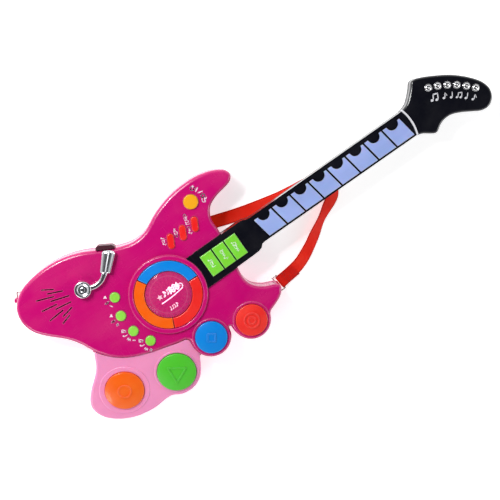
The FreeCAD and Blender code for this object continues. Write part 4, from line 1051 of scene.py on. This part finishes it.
def build_paddle(build):
    """The paddle: a long left facet, a groove and a raised right rim, all rounded off at both ends."""
    rows = 26
    sections = []
    for row in range(rows + 1):
        share = row / rows
        end = min(share / 0.07, (1.0 - share) / 0.12, 1.0)
        swell = math.sqrt(1.0 - (1.0 - end) ** 2)
        narrow = (1.0 - swell) * 0.2
        ring = [paddle_spot(across, share, narrow, PADDLE_LOW + (height - PADDLE_LOW) * (0.35 + 0.65 * swell))
                for across, height in PADDLE_CROWN]
        ring += [paddle_spot(across, share, narrow, PADDLE_LOW) for across in (1.0, 0.66, 0.33, 0.0)]
        sections.append(ring)
    loft(build, sections)


def stud_master(radius, height):
    """One stud, its foot at the origin: a stepped flange, a dome and a dark dimple on top."""
    build = bmesh.new()
    profile = [(0.01, height - 0.75), (0.55, height - 0.7), (0.75, height - 0.12)]
    for step in range(1, 9):
        angle = math.radians(80 - 80 * step / 8)
        profile.append((0.75 + (radius * 0.78 - 0.75) * math.cos(angle),
                        1.0 + (height - 1.1) * math.sin(angle)))
    profile += [(radius * 0.8, 0.95), (radius - 0.5, 0.9)]
    profile += rounded(80, 0, (radius - 0.4, 0.45, 0.4), 4)
    profile += [(radius, 0.05), (0.01, 0.05)]
    lathe(build, Vector((0.0, 0.0, 0.0)), profile, 40)
    return mesh_of("stud", build)


# Stage

CAMERA_SPOT = (117.0, 164.0, 1240.0)
CAMERA_AIM = (115.3, -12.9, 42.0)
CAMERA_UP_ANGLE = 34.67
LENS = 69.7
LIGHTS = {
    "key": {"spot": (-260.0, 860.0, 900.0), "size": 520.0, "power": 8.5},
    "fill": {"spot": (1000.0, -900.0, 520.0), "size": 700.0, "power": 3.0},
    "rim": {"spot": (-1000.0, -300.0, 620.0), "size": 500.0, "power": 2.4},
    "glint": {"spot": (-300.0, 760.0, 1050.0), "size": 110.0, "power": 2.8},
}
LIGHT_AIM = (0.0, 0.0, 20.0)
# How far up the sky begins to dim, and where it is dimmest.
SKY_TURN = (0.45, 0.8)
SKY_LOW = (1.0, 1.0, 1.0, 1.0)
SKY_HIGH = (0.05, 0.05, 0.056, 1.0)
SKY_POWER = 0.8
FLOOR_GLOW = 0.62


def looking(spot, aim, up):
    """The matrix of a thing at spot that looks at aim."""
    forward = (aim - spot).normalized()
    right = forward.cross(up).normalized()
    over = right.cross(forward)
    turn = Matrix((right, over, -forward)).transposed()
    return Matrix.Translation(spot) @ turn.to_4x4()


def add_camera():
    data = bpy.data.cameras.new("front_view")
    data.lens = LENS
    camera = new_object("front_view", data)
    angle = math.radians(CAMERA_UP_ANGLE)
    camera.matrix_world = looking(at(*CAMERA_SPOT), at(*CAMERA_AIM),
                                  Vector((math.sin(angle), math.cos(angle), 0.0)))
    bpy.context.scene.camera = camera


def add_light(name, settings):
    data = bpy.data.lights.new(name, "AREA")
    data.shape = "DISK"
    data.size = settings["size"] * MM
    data.energy = settings["power"]
    lamp = new_object(name, data)
    spot, aim = Vector(settings["spot"]) * MM, Vector(LIGHT_AIM) * MM
    lamp.matrix_world = looking(spot, aim, Vector((0.1, 0.2, 1.0)))


def add_floor():
    build = bmesh.new()
    bmesh.ops.create_circle(build, cap_ends=True, segments=64, radius=6.0)
    mesh = bpy.data.meshes.new("floor")
    build.to_mesh(mesh)
    build.free()
    pale = Finish("pale_floor", Specular_IOR_Level=0.1, Emission_Color=WHITE, Emission_Strength=FLOOR_GLOW)
    mottle = pale.place.noise(3.0)
    mesh.materials.append(pale.dress(mottle.mix((0.93, 0.93, 0.93, 1.0), (0.95, 0.95, 0.95, 1.0)), 0.9))
    new_object("floor", mesh)


def add_sky():
    """A studio sky: bright round the horizon, and dim overhead so that flat gloss keeps its own colour."""
    world = bpy.data.worlds.new("studio")
    world.use_nodes = True
    tree = world.node_tree
    height = coordinates(tree, "Generated").parts()[2]
    background = tree.nodes["Background"].inputs
    height.spread(*SKY_TURN).mix(SKY_LOW, SKY_HIGH).to(background["Color"])
    background["Strength"].default_value = SKY_POWER
    bpy.context.scene.world = world
    bpy.context.scene.view_settings.view_transform = "Standard"


# Operators

class GUITAR_OT_shells(bpy.types.Operator):
    """Moulded finishes for the body, the wing, the neck and the head"""
    bl_idname = "guitar.shells"
    bl_label = "Shell finishes"

    def execute(self, context):
        own = colours()
        magenta = moulded_plastic("magenta_gloss", own.magenta, roughness=0.2, drift=0.12, scuffs=0.08,
                                  wear_and_highlight_width=0.0014)
        back = moulded_plastic("magenta_back", own.magenta, roughness=0.34, coat=0.2, drift=0.16, scuffs=0.6,
                               peel=0.00008, grain=1400.0)
        pink = moulded_plastic("pink_gloss", own.pink, roughness=0.24, drift=0.08, scuffs=0.1,
                               worn=0.6, glow=0.15)
        black = moulded_plastic("black_gloss", own.black, roughness=0.14, coat=0.8, drift=0.2, scuffs=0.08,
                                worn=0.16, wear_and_highlight_width=0.0008)
        black_back = moulded_plastic("black_back", own.black, roughness=0.32, coat=0.2, drift=0.3, scuffs=0.6,
                                     worn=0.14, peel=0.00008, grain=1400.0, dust=1.6)
        finish(["front_shell", "dome_base"], magenta)
        finish(["rear_shell", "battery_door"], back)
        finish(["wing_cover"], pink)
        finish(["neck_front", "head_front"], black)
        finish(["neck_rear", "head_rear"], black_back)
        finish(["nut_strip"], moulded_plastic("nut_white", own.white, roughness=0.3, drift=0.06))
        # The lug under the lever's tip gets the dark maroon, which paints the shade it lies in.
        finish(["arm_rest"], moulded_plastic("painted_shade_maroon_satin", own.painted_shade_maroon, roughness=0.4, coat=0.1, worn=0.2))
        return {"FINISHED"}


class GUITAR_OT_buttons(bpy.types.Operator):
    """Finishes for the pads, the play ring, the keys and the small buttons"""
    bl_idname = "guitar.buttons"
    bl_label = "Button finishes"

    def execute(self, context):
        own = colours()
        paints = {
            "blue_gloss": (own.blue, ["ring_button_blue", "pad_blue"]),
            "orange_gloss": (own.orange, ["ring_button_orange", "pad_orange"]),
            "red_gloss": (own.red, ["ring_button_red", "pad_red", "mode_button_1", "mode_button_2",
                                    "mode_button_3"]),
            "green_gloss": (own.green, ["pad_green"]),
            "amber_gloss": (own.amber, ["power_button"]),
        }
        for name, (colour, nodes) in paints.items():
            finish(nodes, moulded_plastic(name, colour, roughness=0.24, coat=0.4, drift=0.08, worn=0.35,
                                          glow=0.1))
        # These pale keys get strongly lightened rims: partly wear and partly a painted highlight for the
        # sky's reflection on their rounded edges.
        pale = {
            "lime_gloss": (own.lime, ["volume_down_button", "volume_up_button", "tempo_down_button",
                                      "tempo_up_button"]),
            "green_key_gloss": (own.key_green, [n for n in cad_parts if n.startswith("rhythm_key")]),
            "lavender_gloss": (own.lavender, [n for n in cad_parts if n.startswith("neck_key")]),
        }
        for name, (colour, nodes) in pale.items():
            finish(nodes, moulded_plastic(name, colour, roughness=0.3, coat=0.35, drift=0.16, wear_and_highlight=1.9,
                                          wear_and_highlight_width=0.0012, worn=0.8, glow=0.2))
        return {"FINISHED"}


class GUITAR_OT_insides(bpy.types.Operator):
    """Finishes for the works inside: boards, speaker, cells, contacts, screws and lamps"""
    bl_idname = "guitar.insides"
    bl_label = "Inner finishes"

    def execute(self, context):
        plated = bare_metal("nickel_plate", (0.66, 0.64, 0.6), 0.22, (60.0, 60.0, 900.0))
        finish(["case_screws", "door_screw", "battery_contacts", "lever_spring", "lever_washer",
                "strap_rings"], plated)
        finish(["speaker_frame", "speaker_magnet"], bare_metal("pressed_steel", (0.42, 0.43, 0.45), 0.35,
                                                               (900.0, 60.0, 60.0)))
        finish(["speaker_cone"], paper_cone("paper_cone"))
        finish(["main_board", "neck_board", "switch_boards"], solder_mask("solder_mask"))
        finish(["board_parts"], moulded_plastic("chip_black", (0.012, 0.012, 0.014), roughness=0.5, coat=0.0))
        finish(["button_domes", "neck_domes", "pad_domes"], soft_rubber("switch_rubber", (0.72, 0.7, 0.66)))
        finish(["leds"], clear_epoxy("lamp_epoxy"))
        finish(["batteries"], cell_sleeve("cell_sleeve"))
        return {"FINISHED"}


class GUITAR_OT_dome(bpy.types.Operator):
    """The play disc's tinted dome and the print under it"""
    bl_idname = "guitar.dome"
    bl_label = "Dome and print"

    def execute(self, context):
        own = colours()
        finish(["dome_lens"], tinted_lens("dome_tint", own.dome))
        finish(["dome_print"], printed_film("dome_film", own.magenta))
        level = top("dome_print") / MM
        signs = []
        for x, y, turn, pitch, scale, weight, marks in DOME_ROWS:
            signs += in_row(x, y, level, turn, pitch, scale, weight, marks)
        # The dome's ink gets a painted glow, emission that lifts the signs under the tinted dome.
        printed("dome_sign", signs, printed_ink("dome_ink_with_painted_glow", own.ink, glow=0.55), "guitar")
        return {"FINISHED"}


class GUITAR_OT_signs(bpy.types.Operator):
    """The generic signs printed beside the buttons, on the rhythm keys and on the head"""
    bl_idname = "guitar.signs"
    bl_label = "Printed signs"

    def execute(self, context):
        own = colours()
        signs = []
        for name, (radius, first, last, scale, marks) in BUTTON_ARCS.items():
            x, y = from_disc(middle(f"{name}_button"))
            signs += on_arc(x, y, FACE, radius, first, last, scale, marks)
        for count, marks in enumerate(MODE_MARKS, start=1):
            x, y = from_disc(middle(f"mode_button_{count}"))
            signs += in_row(x + MODE_REACH * math.cos(MODE_SIDE), y + MODE_REACH * math.sin(MODE_SIDE), FACE,
                            MODE_TURN, 3.8, 1.05, 1.0, marks)
        printed("face_signs", signs, printed_ink("pale_ink", own.ink), "guitar")
        signs = [Sign(mark, x, y, NECK_FACE, turn, scale, HEAD_WEIGHT)
                 for x, y, turn, scale, mark in HEAD_MARKS]
        printed("head_signs", signs, printed_ink("head_ink", own.white), "guitar")
        key_ink = printed_ink("key_ink", own.key_ink)
        for count, marks in enumerate(KEY_MARKS, start=1):
            node = f"rhythm_key_{count}"
            x, y = from_disc(middle(node))
            signs = in_row(x, y, top(node) / MM, -90.0, 4.6, 1.2, 1.0, marks)
            printed(f"key_sign_{count}", signs, key_ink, f"rhythm_{count}")
        return {"FINISHED"}


class GUITAR_OT_strap(bpy.types.Operator):
    """The woven shoulder strap, its sewn ends and their stitches"""
    bl_idname = "guitar.strap"
    bl_label = "Shoulder strap"

    def execute(self, context):
        own = sizes()
        cloth = woven_webbing("red_webbing_weave")
        thread = sewing_thread("dark_thread", colours().webbing_edge)
        line = nurbs_line([at(x, y, strap_height(lean)) for x, y, lean in STRAP_ROUTE])
        last = len(line) - 1
        sides = []
        for step, direction in enumerate(directions(line)):
            flat = UP.cross(direction).normalized()
            over = direction.cross(flat)
            lean = lean_at(step / last)
            sides.append(flat * math.cos(lean) + over * math.sin(lean))
        mesh = webbing("strap", line, sides, own.strap_width, own.strap_thickness)
        strap = new_piece("strap", mesh, cloth, "guitar")
        rings = lumps("strap_rings")
        ends = (("horn", rings[-1], line[0], directions(line)[0]),
                ("tail", rings[0], line[last], -directions(line)[last]))
        for label, bar, start, inward in ends:
            side = UP.cross(inward).normalized()
            centre = Vector((*(start - inward * BAR_INSET * MM).xy, bar[0].z + BAR_INSET * MM))
            path = fold_line(centre, inward, start.z)
            fold = webbing(f"strap_{label}_fold", path, [side] * len(path), own.strap_width * 0.97,
                           own.strap_thickness)
            new_piece(f"strap_{label}_fold", fold, cloth, "guitar")
            height = start.z + own.strap_thickness * 1.5 + 0.1 * MM
            lines = box_stitch_lines(start, inward, side, height, own.strap_width)
            sewn = grown(f"{label}_stitches", lines, make_sewn_line(), {
                "Pitch": own.stitch_pitch, "Length": own.stitch_length, "Thread": own.stitch_width,
                "Material": thread})
            new_piece(f"strap_{label}_stitches", sewn, None, "guitar")
        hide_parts("strap_webbing")
        along(line)[-1]
        return {"FINISHED"}


class GUITAR_OT_lever(bpy.types.Operator):
    """The chrome tone lever: a dished hub, a curved arm and a grooved paddle"""
    bl_idname = "guitar.lever"
    bl_label = "Tone lever"

    def execute(self, context):
        build = bmesh.new()
        lathe(build, Vector((*middle("lever_washer").xy, 0.0)), hub_outline(), 72)
        build_arm(build)
        build_paddle(build)
        chrome = plated_chrome("lever_chrome")
        lever = new_piece("lever_chrome", mesh_of("lever_chrome", build), chrome, "lever")
        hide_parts("tone_lever")
        return {"FINISHED"}


class GUITAR_OT_studs(bpy.types.Operator):
    """The row of chrome studs on the head"""
    bl_idname = "guitar.studs"
    bl_label = "Head studs"

    def execute(self, context):
        boxes = lumps("tuner_studs")
        radius = (boxes[0][1].x - boxes[0][0].x) / 2 / MM
        height = boxes[0][1].z / MM - NECK_FACE
        chrome = plated_chrome("stud_chrome", (0.9, 0.9, 0.92), 0.1)
        master = new_object("stud_master", stud_master(radius, height))
        points = bpy.data.meshes.new("stud_points")
        points.from_pydata([(*((low + high) / 2).xy, NECK_FACE * MM) for low, high in boxes], [], [])
        mesh = grown("stud_points", points, make_row_of_studs(), {
            "Part": master, "Seed": 7, "Material": chrome})
        bpy.data.objects.remove(master)
        for face in mesh.polygons:
            face.use_smooth = True
        studs = new_piece("head_studs", mesh, None, "guitar")
        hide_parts("tuner_studs")
        return {"FINISHED"}


class GUITAR_OT_stage(bpy.types.Operator):
    """The pale floor, the soft lights and the camera"""
    bl_idname = "guitar.stage"
    bl_label = "Stage"

    def execute(self, context):
        add_sky()
        add_floor()
        for name, settings in LIGHTS.items():
            add_light(name, settings)
        add_camera()
        return {"FINISHED"}


OPERATORS = [GUITAR_OT_stage, GUITAR_OT_shells, GUITAR_OT_buttons, GUITAR_OT_insides, GUITAR_OT_dome,
             GUITAR_OT_strap, GUITAR_OT_lever, GUITAR_OT_studs, GUITAR_OT_signs]


class GUITAR_PT_panel(bpy.types.Panel):
    """Lists the guitar's pieces, colours and sizes in the sidebar"""
    bl_idname = "GUITAR_PT_panel"
    bl_label = "Guitar"
    bl_space_type = "VIEW_3D"
    bl_region_type = "UI"
    bl_category = "Guitar"

    def draw(self, context):
        for operator in OPERATORS:
            self.layout.operator(operator.bl_idname)
        for group in (context.scene.guitar_colours, context.scene.guitar_sizes):
            column = self.layout.column()
            for name in group.bl_rna.properties.keys():
                if name not in ("rna_type", "name"):
                    column.prop(group, name)


CLASSES = [GuitarColours, GuitarSizes, *OPERATORS, GUITAR_PT_panel]


def register():
    for item in CLASSES:
        bpy.utils.register_class(item)
    bpy.types.Scene.guitar_colours = bpy.props.PointerProperty(type=GuitarColours)
    bpy.types.Scene.guitar_sizes = bpy.props.PointerProperty(type=GuitarSizes)


def unregister():
    del bpy.types.Scene.guitar_sizes
    del bpy.types.Scene.guitar_colours
    for item in reversed(CLASSES):
        bpy.utils.unregister_class(item)


def main():
    register()
    for operator in OPERATORS:
        group, name = operator.bl_idname.split(".")
        getattr(getattr(bpy.ops, group), name)()


if __name__ == "__main__":
    main()
